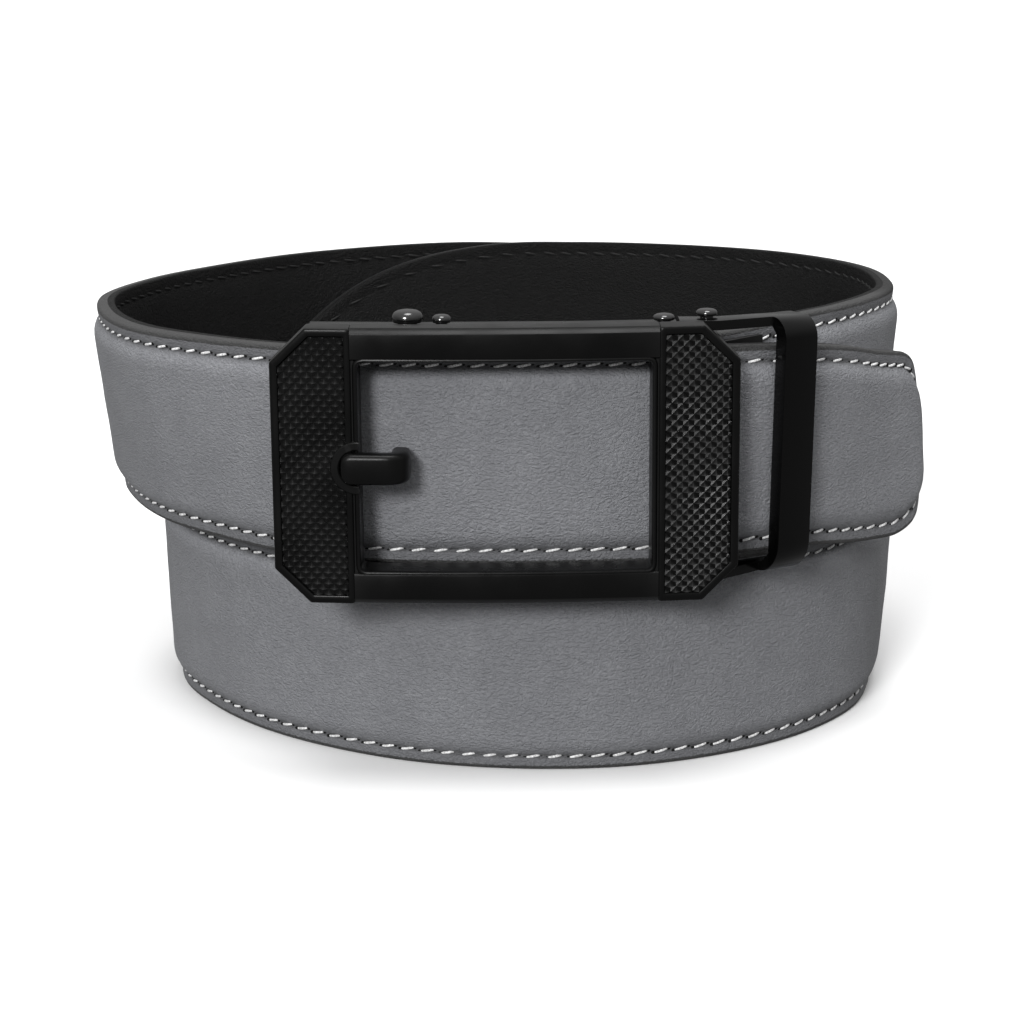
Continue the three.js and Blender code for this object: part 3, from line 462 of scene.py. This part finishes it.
class Strap:
    """The strap's curved path, with a place on it for every run, rise and out."""

    def __init__(self):
        table = np.array(ROUTE, dtype=float)
        angle = -np.radians(table[:, 0])
        radius = table[:, 1] * RING_RADIUS
        rows = np.stack((radius * np.cos(angle), radius * np.sin(angle), table[:, 2] * STRAP_WIDTH), axis=1)
        points = catmull_rom(rows)
        points[:, 2] = np.maximum(points[:, 2], 0)
        row_numbers = np.arange(len(points)) / SAMPLES_PER_ROW
        lean = np.interp(row_numbers, np.arange(len(table)), np.radians(table[:, 3]))
        self.points = points
        self.run = np.concatenate(((0,), np.cumsum(np.linalg.norm(np.diff(points, axis=0), axis=1))))
        self.length = self.run[-1]
        self.lean = smoothed(lean[:, None], 4)[:, 0]
        along = normalized(smoothed(np.gradient(points, self.run, axis=0), 2.5))
        upright = normalized(np.array((0, 0, 1)) - along * along[:, 2:3])
        outward = normalized(np.cross(upright, along))
        turned = self.lean[:, None]
        self.along = along
        self.across = upright * np.cos(turned) + outward * np.sin(turned)
        self.normal = outward * np.cos(turned) - upright * np.sin(turned)

    def read(self, values, run):
        return np.stack([np.interp(run, self.run, values[:, axis]) for axis in range(3)], axis=-1)

    def at(self, run, rise, out):
        """Points on the strap, for arrays of one shape."""
        run = np.asarray(run, dtype=float)
        foot = self.read(self.points, run)
        across = normalized(self.read(self.across, run))
        normal = normalized(self.read(self.normal, run))
        placed = foot + across * np.asarray(rise)[..., None] + normal * np.asarray(out)[..., None]
        placed[..., 2] = np.maximum(placed[..., 2], FLOOR_GAP)
        return placed


strap = Strap()


def edge_inset(run):
    """How far each edge of the strap draws in at the tip: a rounded corner and a slight taper."""
    corner = np.clip(1 - run / TIP_CORNER_LENGTH, 0, 1)
    taper = np.clip(1 - run / TIP_TAPER_LENGTH, 0, 1)
    return TIP_CORNER_HEIGHT * (1 - np.sqrt(1 - corner ** 2)) + TIP_TAPER / 2 * taper


def tip_outline():
    """Outline of the tip in run and rise, from the lower edge round to the upper one."""
    corner = TIP_CORNER_LENGTH * (1 - np.cos(np.linspace(0, math.pi / 2, 40)))
    run = np.concatenate((corner, np.linspace(TIP_CORNER_LENGTH, TIP_TAPER_LENGTH, 30)[1:]))
    lower = np.stack((run, edge_inset(run)), axis=1)
    upper = np.stack((run, STRAP_WIDTH - edge_inset(run)), axis=1)
    return np.vstack((lower[::-1], upper))


def distance_to_outline(run, rise, outline):
    """Shortest distance from places on the strap to the tip's outline."""
    best = np.full(run.shape, np.inf)
    for start, end in zip(outline[:-1], outline[1:]):
        side = end - start
        share = ((run - start[0]) * side[0] + (rise - start[1]) * side[1]) / (side @ side + 1e-9)
        share = np.clip(share, 0, 1)
        best = np.minimum(best, np.hypot(run - start[0] - share * side[0], rise - start[1] - share * side[1]))
    return best


def stitch_path():
    """Run, rise and walked length of the stitch row, one line from the cut end round the tip and back."""
    far = np.arange(strap.length - CLAMP_GRIP, TIP_TAPER_LENGTH, -4.0)
    lower = np.stack((far, np.zeros_like(far)), axis=1)
    upper = np.stack((far[::-1], np.full_like(far, STRAP_WIDTH)), axis=1)
    edge = np.vstack((lower, tip_outline(), upper))
    side = normalized(np.gradient(edge, axis=0))
    inward = np.stack((-side[:, 1], side[:, 0]), axis=1)
    if inward[0, 1] < 0:
        inward = -inward
    row = edge + inward * STITCH_INSET
    walked = np.concatenate(((0,), np.cumsum(np.linalg.norm(np.diff(row, axis=0), axis=1))))
    return row, walked


STITCH_ROW, STITCH_WALK = stitch_path()


def stitch_phase(run, upper):
    """Stitches walked at a run on one edge, so that creases in the leather fall between them."""
    turn = np.argmin(STITCH_ROW[:, 0])
    side = slice(turn, None) if upper else slice(turn, None, -1)
    return np.interp(run, STITCH_ROW[side, 0], STITCH_WALK[side]) / STITCH_PITCH


def station_runs():
    """Runs of the strap's sections, close together at the tip."""
    tip = [0, 0.08, 0.2, 0.35, 0.55, 0.8, 1.1, 1.45, 1.8, 2.0, 2.15, 2.3, 2.45, 2.6, 2.8, 3.0, 3.25, 3.55]
    near = np.arange(3.9, TIP_CORNER_LENGTH + 5, 0.4)
    rest = np.arange(near[-1] + STATION_STEP, strap.length - 0.01, STATION_STEP)
    return np.concatenate((tip, near, rest, (strap.length,)))


# Distances of the face's points from each edge, close together at the edge, the stitches and the puff's foot
EDGE_PLACES = (0, 0.1, 0.25, 0.45, 0.7, 1.1, 1.6, 1.95, 2.2, 2.4, 2.6, 2.85, 3.15, 3.55, 4.05, 4.7, 5.4, 6.2)
MIDDLE_PLACES = 9


def face_rises(runs):
    """Rise of each face point of each section, with the close-set places at both edges."""
    inset = edge_inset(runs)[:, None]
    width = STRAP_WIDTH - 2 * inset
    places = np.array(EDGE_PLACES)[None, :]
    scale = np.minimum(1, width / 2 / (EDGE_PLACES[-1] * 1.25))
    lower = places * scale
    first = lower[:, -1:]
    share = np.arange(1, MIDDLE_PLACES + 1)[None, :] / (MIDDLE_PLACES + 1)
    middle = first + (width - 2 * first) * share
    return inset + np.concatenate((lower, middle, width - lower[:, ::-1]), axis=1)


def waves(run, rise):
    """Slight unevenness of worked leather."""
    broad = np.sin(run * 0.071 + 1.3) * np.sin(rise * 0.16 + run * 0.013)
    small = np.sin(run * 0.23 + rise * 0.31) * np.sin(rise * 0.42 - run * 0.11 + 0.7)
    return 0.1 * broad + 0.05 * small


def padding_share(run):
    """The padding fades out before the clamp."""
    left = np.clip((strap.length - CLAMP_GRIP - 6.5 - run) / 4.5, 0, 1)
    return np.sqrt(1 - (1 - left) ** 2)


def face_out(run, rise, edge):
    """Outward place of the strap's face: rounded edge, flange with its stitch groove, and padded middle."""
    share = np.clip((edge - FLANGE_WIDTH) / PADDING_SLOPE, 0, 1)
    puff = PADDING_HEIGHT * (1 - (1 - share) ** 2.6)
    crown = PADDING_CROWN * np.clip((edge - FLANGE_WIDTH) / (STRAP_WIDTH / 2 - FLANGE_WIDTH), 0, 1)
    rounded = EDGE_ROUNDING * (1 - np.sqrt(1 - (1 - np.clip(edge / EDGE_ROUNDING, 0, 1)) ** 2))
    groove = GROOVE_DEPTH * np.exp(-((edge - STITCH_INSET) / GROOVE_WIDTH) ** 2)
    phase = np.where(rise > STRAP_WIDTH / 2, stitch_phase(run, True), stitch_phase(run, False))
    near = np.exp(-((edge - STITCH_INSET - 0.9) / 0.9) ** 2) + 0.5 * np.exp(-((edge - 1.3) / 0.6) ** 2)
    pucker = PUCKER_DEPTH * near * (0.5 + 0.5 * np.cos(2 * math.pi * (phase + 0.5)))
    inner = np.clip(edge / 3, 0, 1)
    return padding_share(run) * (puff + crown) - rounded - groove - pucker + waves(run, rise) * inner


def make_strap_outer():
    runs = station_runs()
    rises = face_rises(runs)
    run = np.repeat(runs[:, None], rises.shape[1], axis=1)
    inset = edge_inset(run)
    straight = np.minimum(rises - inset, STRAP_WIDTH - inset - rises)
    edge = straight.copy()
    near_tip = runs < TIP_CORNER_LENGTH + 8
    edge[near_tip] = distance_to_outline(run[near_tip], rises[near_tip], tip_outline())
    out = face_out(run, rises, edge)
    top = STRAP_WIDTH - edge_inset(runs)
    bottom = edge_inset(runs)
    wall = np.array((0.35, 0.7, 1.0)) * (-OUTER_BACK - EDGE_ROUNDING)
    wall_out = np.repeat((-EDGE_ROUNDING - wall)[None, :], len(runs), axis=0)
    ring_rise = np.concatenate((rises, np.repeat(top[:, None], 3, axis=1), (top * 0.5 + bottom * 0.5)[:, None],
                                np.repeat(bottom[:, None], 3, axis=1)), axis=1)
    ring_out = np.concatenate((out, wall_out, np.full((len(runs), 1), OUTER_BACK), wall_out[:, ::-1]), axis=1)
    wall_edge = -np.repeat(wall[None, :], len(runs), axis=0)
    back_edge = np.full((len(runs), 1), -4.0)
    ring_edge = np.concatenate((edge, wall_edge, back_edge, wall_edge[:, ::-1]), axis=1)
    ring_run = np.repeat(runs[:, None], ring_rise.shape[1], axis=1)
    vertices, faces = tube(strap.at(ring_run, ring_rise, ring_out))
    attributes = {"edge": ring_edge.ravel(), "run": ring_run.ravel()}
    return make_piece("strap_leather", vertices, faces, OUTER_LEATHER, 50,
                      ["strap_outer"], attributes)


def make_strap_lining():
    """Black lining: flush with the leather's edges, stitched through, and slightly puffed between the rows."""
    runs = station_runs()[::2]
    inset = edge_inset(runs)[:, None]
    width = STRAP_WIDTH - 2 * inset
    places = np.array((0, 0.12, 0.3, 0.6, 1.2, 1.8, 2.2, 2.5, 2.9, 3.6, 4.8, 6.4))[None, :]
    lower = places * np.minimum(1, width / 2 / 8)
    share = np.arange(1, 7)[None, :] / 7
    middle = lower[:, -1:] + (width - 2 * lower[:, -1:]) * share
    rises = inset + np.concatenate((lower, middle, width - lower[:, ::-1]), axis=1)
    run = np.repeat(runs[:, None], rises.shape[1], axis=1)
    edge = np.minimum(rises - edge_inset(run), STRAP_WIDTH - edge_inset(run) - rises)
    near_tip = runs < TIP_CORNER_LENGTH + 8
    edge[near_tip] = distance_to_outline(run[near_tip], rises[near_tip], tip_outline())
    rounded = LINING_ROUNDING * (1 - np.sqrt(1 - (1 - np.clip(edge / LINING_ROUNDING, 0, 1)) ** 2))
    groove = LINING_GROOVE * np.exp(-((edge - STITCH_INSET) / GROOVE_WIDTH) ** 2)
    puff = LINING_PUFF * np.clip((edge - FLANGE_WIDTH) / 3, 0, 1) ** 0.7
    back = LINING_BACK + rounded + groove - puff + 0.5 * waves(run, rises) * np.clip(edge / 3, 0, 1)
    front = np.full((len(runs), 2), OUTER_BACK)
    ring_rise = np.concatenate((rises, STRAP_WIDTH - inset, inset), axis=1)
    ring_out = np.concatenate((back, front), axis=1)
    ring_run = np.repeat(runs[:, None], ring_rise.shape[1], axis=1)
    ring_edge = np.concatenate((edge + 3, np.zeros((len(runs), 2))), axis=1)
    vertices, faces = tube(strap.at(ring_run, ring_rise, ring_out))
    return make_piece("strap_back", vertices, faces, LINING_LEATHER, 50, ["strap_lining"],
                      {"edge": ring_edge.ravel()})


def make_stitches(name, thread, out, facing, sink):
    """Lens-shaped stitches along the whole stitch row, each with a dark disc of painted shade for its needle hole at
    either end.
    """
    count = int(STITCH_WALK[-1] / STITCH_PITCH)
    walked = (np.arange(count) + 0.5) * STITCH_PITCH
    run = np.interp(walked, STITCH_WALK, STITCH_ROW[:, 0])
    rise = np.interp(walked, STITCH_WALK, STITCH_ROW[:, 1])
    level = np.full(count, out)
    centre = strap.at(run, rise, level)
    step = 0.4
    ahead = strap.at(np.interp(walked + step, STITCH_WALK, STITCH_ROW[:, 0]),
                     np.interp(walked + step, STITCH_WALK, STITCH_ROW[:, 1]), level)
    normal = normalized(strap.read(strap.normal, run)) * facing
    line = normalized(ahead - centre)
    forward = strap.read(strap.along, run)
    line = np.where(np.sum(line * forward, axis=1)[:, None] > 0, -line, line)
    side = normalized(np.cross(normal, line))
    upward = np.where(side[:, 2:3] < 0, -side, side)
    tilted = line * math.cos(STITCH_TILT) + upward * math.sin(STITCH_TILT)
    width = normalized(np.cross(normal, tilted))
    parts = []
    stations = np.array((-1, -0.88, -0.6, -0.2, 0.2, 0.6, 0.88, 1))
    corners = np.arange(7) / 7 * 2 * math.pi
    thick = STITCH_RADIUS * np.sqrt(np.maximum(1 - stations ** 2, 0.02)) ** 0.7
    for i in range(count):
        lift = STITCH_RADIUS * 0.55 - sink * np.abs(stations) ** 3
        spine = centre[i] + tilted[i] * (stations * STITCH_LENGTH / 2)[:, None] + normal[i] * lift[:, None]
        rings = (spine[:, None, :]
                 + width[i] * (thick[:, None] * np.cos(corners))[..., None]
                 + normal[i] * (thick[:, None] * 0.85 * np.sin(corners))[..., None])
        parts.append(tube(rings))
    vertices, faces = join(parts)
    make_piece(name, vertices, faces, thread, 70)
    # Dark discs at the needle holes: painted shade standing in for the holes' depth.
    hole_shade_discs = []
    ring = np.arange(8) / 8 * 2 * math.pi
    for i in range(count):
        for end in (-1, 1):
            middle = centre[i] + tilted[i] * end * STITCH_LENGTH * 0.5 + normal[i] * 0.02
            discs = []
            for radius, height in ((0.34, -0.06), (0.3, 0.03), (0.12, 0.05)):
                across = line[i] * np.cos(ring)[:, None] * radius * 1.1
                spread = across + upward[i] * np.sin(ring)[:, None] * radius
                discs.append(middle + spread + normal[i] * height)
            hole_shade_discs.append(tube(discs))
    vertices, faces = join(hole_shade_discs)
    make_piece(name + "_holes", vertices, faces, NEEDLE_HOLE_SHADE, 70)


# The buckle


def on_buckle(points):
    """Points given from the window's middle (x, back from the face, z), bowed and put in the ring's frame."""
    points = np.array(points, dtype=float)
    placed = points.copy()
    placed[..., 0] = points[..., 0] + BUCKLE_X
    placed[..., 1] = FRAME_FACE_Y + points[..., 1] + bow_at(points[..., 0])
    placed[..., 2] = BUCKLE_Z + points[..., 2]
    return placed


def inset_polygon(corners, insets):
    """Convex polygon with each side moved in by its own inset. Side i runs from corner i to corner i + 1."""
    corners = np.asarray(corners, dtype=float)
    count = len(corners)
    sides = np.roll(corners, -1, axis=0) - corners
    sides /= np.linalg.norm(sides, axis=1, keepdims=True)
    inward = np.stack((-sides[:, 1], sides[:, 0]), axis=1)
    moved = []
    for i in range(count):
        before = (i - 1) % count
        rows = np.array((inward[before], inward[i]))
        reach = np.array((inward[before] @ corners[i] + insets[before], inward[i] @ corners[i] + insets[i]))
        moved.append(np.linalg.solve(rows, reach))
    return np.array(moved)


def round_polygon(corners, radius, steps=3):
    """Polygon with each corner turned into a short arc of steps + 1 points."""
    rounded = []
    count = len(corners)
    for i in range(count):
        corner = corners[i]
        to_last = normalized(corners[i - 1] - corner)
        to_next = normalized(corners[(i + 1) % count] - corner)
        half_angle = math.acos(float(np.clip(to_last @ to_next, -1, 1))) / 2
        back = radius / math.tan(half_angle)
        for k in range(steps + 1):
            share = k / steps
            start = corner + to_last * back
            end = corner + to_next * back
            rounded.append((1 - share) ** 2 * start + 2 * share * (1 - share) * corner + share ** 2 * end)
    return np.array(rounded)


# Share of the rim's width along each side of an end block
RIM_SHARES = (1.0, 1.0, 0.78, 1.0, 1.0, 1.0)


def block_shape(side):
    """Corners of an end block seen from the front, anticlockwise. Its side number 2 faces the window."""
    cut_x = HALF_LENGTH - FRAME_CORNER_LENGTH
    cut_z = HALF_HEIGHT - FRAME_CORNER_HEIGHT
    left = [(-HALF_LENGTH, -cut_z), (-cut_x, -HALF_HEIGHT), (-BLOCK_INNER, -HALF_HEIGHT),
            (-BLOCK_INNER, HALF_HEIGHT), (-cut_x, HALF_HEIGHT), (-HALF_LENGTH, cut_z)]
    return np.array(left if side < 0 else [(-x, z) for x, z in reversed(left)])


# Section of an end block: depth behind the face, distance inwards from its outline, and corner radius
BLOCK_RINGS = (
    (5.0, 0.3, 0.3), (4.75, 0.0, 0.5), (0.42, 0.0, 0.5), (0.2, 0.06, 0.5), (0.07, 0.2, 0.45), (0.0, 0.42, 0.4),
    (0.0, 1.08, 0.35), (0.05, 1.2, 0.3), (0.2, 1.27, 0.3), (FIELD_DEPTH, 1.4, 0.25),
)


def make_blocks():
    """End blocks of the frame: rims round the sunken fields."""
    parts = []
    for side in (-1, 1):
        corners = block_shape(side)
        rings = []
        for depth, inset, radius in BLOCK_RINGS:
            shape = inset_polygon(corners, [inset * share for share in RIM_SHARES])
            shape = round_polygon(shape, radius)
            rings.append([(x, depth, z) for x, z in shape])
        parts.append(tube(on_buckle(rings)))
    return parts


def extrude_profile(profile, places, build):
    """Bar with a constant profile through several places, as rings made by build(profile point, place)."""
    rings = [[build(point, place) for point in profile] for place in places]
    return tube(on_buckle(rings))


def make_bars():
    """Top and bottom bars and the two posts round the window."""
    top = HALF_HEIGHT
    window = HALF_OPENING
    profile = [(5.0, window + 0.2), (5.0, top - 0.2), (4.8, top), (1.05, top), (0.85, top - 0.06),
               (0.16, top - 0.72), (0.04, top - 0.86), (0.0, top - 1.05), (0.0, window + 0.45), (0.06, window + 0.22),
               (0.25, window + 0.06), (0.5, window), (4.8, window)]
    places = np.linspace(-BLOCK_INNER - 0.05, BLOCK_INNER + 0.05, 19)
    parts = []
    for side in (-1, 1):
        parts.append(extrude_profile(profile, places, lambda point, x: (x, point[0], side * point[1])))
        outer = BLOCK_INNER + POST_OVERLAP
        inner = HALF_WINDOW + LIP_COVER
        post = [(outer, FRAME_THICKNESS), (outer, POST_DEPTH), (inner, POST_DEPTH), (inner, FRAME_THICKNESS)]
        heights = np.linspace(-window - 0.02, window + 0.02, 5)
        parts.append(extrude_profile(post, heights, lambda point, z: (side * point[0], point[1], z)))
    return parts


# Section of the window's lip: depth behind the face, and distance inwards from the window's edge
WINDOW_LIP = (
    (0.6, -0.5), (0.3, -0.42), (0.06, -0.2), (0.0, -0.02), (0.05, 0.16), (0.25, 0.3), (0.7, 0.38), (4.9, 0.55),
    (4.9, -0.5),
)
LIP_CORNER = 1.3
LIP_CORNER_STEPS = 5
LIP_STEPS = 12


def make_lip():
    """Raised lip round the window, with the window's inner walls behind it."""
    half_x = HALF_WINDOW
    half_z = HALF_OPENING
    corners = [(-half_x, -half_z), (half_x, -half_z), (half_x, half_z), (-half_x, half_z)]
    rings = []
    for depth, inset in WINDOW_LIP:
        shape = round_polygon(inset_polygon(corners, [inset] * 4), LIP_CORNER - inset, LIP_CORNER_STEPS)
        ring = []
        for i, point in enumerate(shape):
            ring.append(point)
            if i % (LIP_CORNER_STEPS + 1) == LIP_CORNER_STEPS:
                after = shape[(i + 1) % len(shape)]
                ring += [point + (after - point) * k / LIP_STEPS for k in range(1, LIP_STEPS)]
        rings.append([(x, depth, z) for x, z in ring])
    return tube(on_buckle(rings), closed=True)


def make_boss():
    """Raised half ring round the prong's root."""
    hole = PRONG_HEIGHT / 2 + CLEARANCE
    rim = hole + RING_WIDTH
    profile = [(rim, 1.2), (rim, 0.0), (rim - 0.06, -0.2), (rim - 0.22, -RING_PROUD), (hole + 0.25, -RING_PROUD),
               (hole + 0.07, -0.25), (hole, -0.05), (hole, 1.2)]
    rings = []
    for angle in np.linspace(math.radians(85), math.radians(275), 41):
        ring = [(-HALF_WINDOW + r * math.cos(angle), y, r * math.sin(angle)) for r, y in profile]
        rings.append(ring)
    return tube(on_buckle(rings))


def make_frame():
    vertices, faces = join(make_blocks() + make_bars() + [make_lip(), make_boss()])
    return make_piece("buckle_body", vertices, faces, BLACK_METAL, 28, ["buckle_frame"])


def field_planes(side):
    """Straight sides of a knurled field: points on them and inward normals, seen from the front."""
    field = inset_polygon(block_shape(side), [(FIELD_RIM + 0.1) * share for share in RIM_SHARES])
    sides = np.roll(field, -1, axis=0) - field
    inward = normalized(np.stack((-sides[:, 1], sides[:, 0]), axis=1))
    return field, inward


# Levels of a knurl point: its share of the foot's size, and its depth behind the face
KNURL_LEVELS = ((1.0, 0.72), (0.16, 0.1), (0.07, 0.045))


def make_knurl(side):
    """Field of four-sided points on diamond feet, cut off straight at the rim."""
    half = KNURL_PITCH / 2
    field, inward = field_planes(side)
    low = field.min(axis=0) - KNURL_PITCH
    high = field.max(axis=0) + KNURL_PITCH
    points = []
    faces = []
    for i in range(int((high[0] - low[0]) / half) + 1):
        for j in range(int((high[1] - low[1]) / half) + 1):
            if (i + j) % 2:
                continue
            x = low[0] + i * half
            z = low[1] + j * half
            first = len(points)
            for size, depth in KNURL_LEVELS:
                reach = size * half
                points += [(x + reach, depth, z), (x, depth, z + reach), (x - reach, depth, z), (x, depth, z - reach)]
            for level in range(len(KNURL_LEVELS) - 1):
                for k in range(4):
                    a = first + level * 4 + k
                    b = first + level * 4 + (k + 1) % 4
                    faces.append((a, b, b + 4, a + 4))
            last = first + (len(KNURL_LEVELS) - 1) * 4
            faces.append((last, last + 1, last + 2, last + 3))
    built = bmesh.new()
    made = [built.verts.new(point) for point in points]
    for face in faces:
        built.faces.new([made[i] for i in face])
    for corner, towards in zip(field, inward):
        everything = built.verts[:] + built.edges[:] + built.faces[:]
        bmesh.ops.bisect_plane(built, geom=everything, dist=1e-6, plane_co=(corner[0], 0, corner[1]),
                               plane_no=(-towards[0], 0, -towards[1]), clear_outer=True)
    built.verts.index_update()
    vertices = on_buckle([tuple(vertex.co) for vertex in built.verts])
    polygons = [tuple(vertex.index for vertex in face.verts) for face in built.faces]
    built.free()
    name = "knurl_left" if side < 0 else "knurl_right"
    return make_piece(name, vertices, polygons, KNURL_METAL, 20)


def rounded_section(half_width, half_height, radius, steps=4):
    """Closed outline of a rectangle with round corners."""
    radius = min(radius, half_width, half_height)
    outline = []
    for quarter, (across, up) in enumerate(((1, 1), (-1, 1), (-1, -1), (1, -1))):
        for k in range(steps + 1):
            angle = (quarter + k / steps) * math.pi / 2
            outline.append((across * (half_width - radius) + radius * math.cos(angle),
                            up * (half_height - radius) + radius * math.sin(angle)))
    return outline


def make_prong():
    """Imitation prong: round at its root, bent back to the strap at its head."""
    half = PRONG_THICKNESS / 2
    level = -PRONG_PROUD + half
    root = -HALF_WINDOW - PRONG_ROOT
    head = -HALF_WINDOW + PRONG_REACH - half
    bend = half + 0.5
    path = []
    root_steps = (0.0, 0.04, 0.12, 0.25, 0.42, 0.62, 0.82, 1.0)
    radius = PRONG_ROUND
    for share in root_steps:
        x = root + share * radius
        swell = 0.45 + 0.55 * math.sqrt(1 - (1 - share) ** 2)
        path.append((x, level, 0.0, swell))
    for share in np.linspace(0.15, 1, 6):
        path.append((root + radius + (head - bend - root - radius) * share, level, 0.0, 1.0))
    for angle in np.linspace(0, math.pi / 2, 9)[1:]:
        path.append((head - bend + bend * math.sin(angle), level + bend - bend * math.cos(angle), angle, 1.0))
    deep = STRAP_FRONT_Y - PADDING_HEIGHT - CLEARANCE - FRAME_FACE_Y - float(bow_at(HALF_WINDOW))
    path.append((head, deep - 0.3, math.pi / 2, 1.0))
    rings = []
    for x, y, angle, swell in path:
        thin = min(1.0, 0.45 + 0.55 * swell)
        section = rounded_section(half * thin, PRONG_HEIGHT / 2 * swell, 0.95)
        rings.append([(x + across * math.sin(angle), y - across * math.cos(angle), up) for across, up in section])
    vertices, faces = tube(on_buckle(rings))
    return make_piece("prong_bar", vertices, faces, BLACK_METAL, 60, ["prong"])


def turn_profile(profile, centre, segments=32):
    """Solid of revolution round an upright axis, from pairs of radius and height."""
    rings = []
    for radius, height in profile:
        angles = np.arange(segments) / segments * 2 * math.pi
        ring = np.stack((radius * np.cos(angles), radius * np.sin(angles), np.full(segments, height)), axis=1)
        rings.append(ring + centre)
    return tube(rings)


def make_pin(node, name):
    """Domed pin head in the place and size of its CAD node."""
    low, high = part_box(node)
    radius = (high.x - low.x) / 2 * 1000
    height = (high.z - low.z) * 1000
    centre = np.array(((low.x + high.x) / 2 * 1000, (low.y + high.y) / 2 * 1000, low.z * 1000)) - OFFSET
    dome = [(0.62, -0.35), (0.62, 0.04), (0.9, 0.05), (0.98, 0.16), (1.0, 0.35), (0.97, 0.55), (0.86, 0.78),
            (0.66, 0.92), (0.4, 0.985), (0.12, 1.0)]
    vertices, faces = turn_profile([(radius * out, height * up) for out, up in dome], centre)
    return make_piece(name, vertices, faces, POLISHED_METAL, 50, [node])


def refine(node, name, material, width):
    """Copy of a CAD node's mesh with its edges rounded, which stands for the node."""
    built = bmesh.new()
    built.from_mesh(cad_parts[node].data)
    bmesh.ops.remove_doubles(built, verts=built.verts, dist=1e-6)
    bmesh.ops.dissolve_limit(built, angle_limit=math.radians(3), verts=built.verts, edges=built.edges)
    edges = [edge for edge in built.edges if len(edge.link_faces) == 2
             and edge.calc_face_angle() > SHARP_EDGE]
    bmesh.ops.bevel(built, geom=edges, offset=width / 1000, offset_type="OFFSET", segments=3, profile=0.5,
                    affect="EDGES", clamp_overlap=True)
    built.verts.index_update()
    vertices = np.array([vertex.co for vertex in built.verts]) * 1000 - OFFSET
    faces = [tuple(vertex.index for vertex in face.verts) for face in built.faces]
    built.free()
    return make_piece(name, vertices, faces, material, 40, [node])


make_strap_outer()
make_strap_lining()
make_stitches("stitches_outer", GREY_THREAD, -GROOVE_DEPTH, 1, STITCH_SINK)
make_stitches("stitches_lining", BLACK_THREAD, LINING_BACK + LINING_GROOVE, -1, STITCH_SINK)
make_frame()
make_knurl(-1)
make_knurl(1)
make_prong()
make_pin("pin_large", "pin_large_head")
make_pin("pin_small", "pin_small_head")
make_pin("pin_right", "pin_right_head")
make_pin("pin_keeper", "pin_keeper_head")
refine("keeper_loop", "keeper_band", GLOSS_METAL, KEEPER_ROUNDING)
refine("mechanism_case", "case_body", BLACK_METAL, 0.18)
refine("end_clamp", "clamp_body", BLACK_METAL, 0.2)
refine("pawl", "pawl_body", BLACK_METAL, 0.2)
refine("ratchet_track", "track_body", BLACK_PLASTIC, 0.12)


# Floor, lights and camera

FLOOR_ALBEDO = 0.9
HORIZON_LIGHT = 0.27
SKY_LIGHT = 0.8

# Name, strength, tilt from straight down, heading and angular size, in degrees
SUNS = (
    ("key_above", 1.7, 8, 20, 32),
    ("fill_front", 2.6, 66, -20, 16),
)


def make_floor():
    mesh = bpy.data.meshes.new("floor")
    reach = 12.0
    mesh.from_pydata([(-reach, -reach, 0), (reach, -reach, 0), (reach, reach, 0), (-reach, reach, 0)], [],
                     [(0, 1, 2, 3)])
    shader = Shader("floor_paper")
    mesh.materials.append(shader.finish(Base_Color=grey(FLOOR_ALBEDO), Roughness=0.9, Specular_IOR_Level=0.0))
    floor = bpy.data.objects.new("floor", mesh)
    bpy.context.scene.collection.objects.link(floor)
    # The floor takes shadows but doesn't light the object from below
    floor.visible_diffuse = False
    floor.visible_glossy = False


def add_sun(name, strength, pitch, heading, angle):
    data = bpy.data.lights.new(name, "SUN")
    data.energy = strength
    data.angle = math.radians(angle)
    light = bpy.data.objects.new(name, data)
    light.rotation_euler = (math.radians(pitch), 0, math.radians(heading))
    bpy.context.scene.collection.objects.link(light)


def make_world():
    """Soft studio surroundings: bright above, dimmer round the camera's side."""
    world = bpy.data.worlds.new("studio")
    world.use_nodes = True
    tree = world.node_tree
    background = tree.nodes["Background"]
    coordinates = tree.nodes.new("ShaderNodeTexCoord")
    parts = tree.nodes.new("ShaderNodeSeparateXYZ")
    tree.links.new(coordinates.outputs["Generated"], parts.inputs[0])
    level = tree.nodes.new("ShaderNodeMapRange")
    level.interpolation_type = "SMOOTHSTEP"
    for key, value in (("From Min", 0.0), ("From Max", 0.9), ("To Min", HORIZON_LIGHT), ("To Max", SKY_LIGHT)):
        level.inputs[key].default_value = value
    tree.links.new(parts.outputs["Z"], level.inputs["Value"])
    tree.links.new(level.outputs["Result"], background.inputs["Strength"])
    background.inputs["Color"].default_value = (1.0, 1.0, 1.0, 1.0)
    bpy.context.scene.world = world


def make_camera():
    data = bpy.data.cameras.new("camera")
    data.sensor_width = SENSOR_WIDTH
    data.sensor_fit = "HORIZONTAL"
    data.lens = FOCAL_PIXELS * SENSOR_WIDTH / PICTURE_PIXELS
    data.clip_start = 0.01
    data.clip_end = 100
    camera = bpy.data.objects.new("camera", data)
    place = (CAMERA_PLACE + Vector(OFFSET)) / 1000
    turn = Matrix.Rotation(math.pi / 2 - CAMERA_PITCH, 4, "X") @ Matrix.Rotation(-CAMERA_ROLL, 4, "Z")
    camera.matrix_world = Matrix.Translation(place) @ turn
    bpy.context.scene.collection.objects.link(camera)
    bpy.context.scene.camera = camera


make_floor()
make_world()
for sun in SUNS:
    add_sun(*sun)
make_camera()
bpy.context.scene.view_settings.view_transform = "Standard"
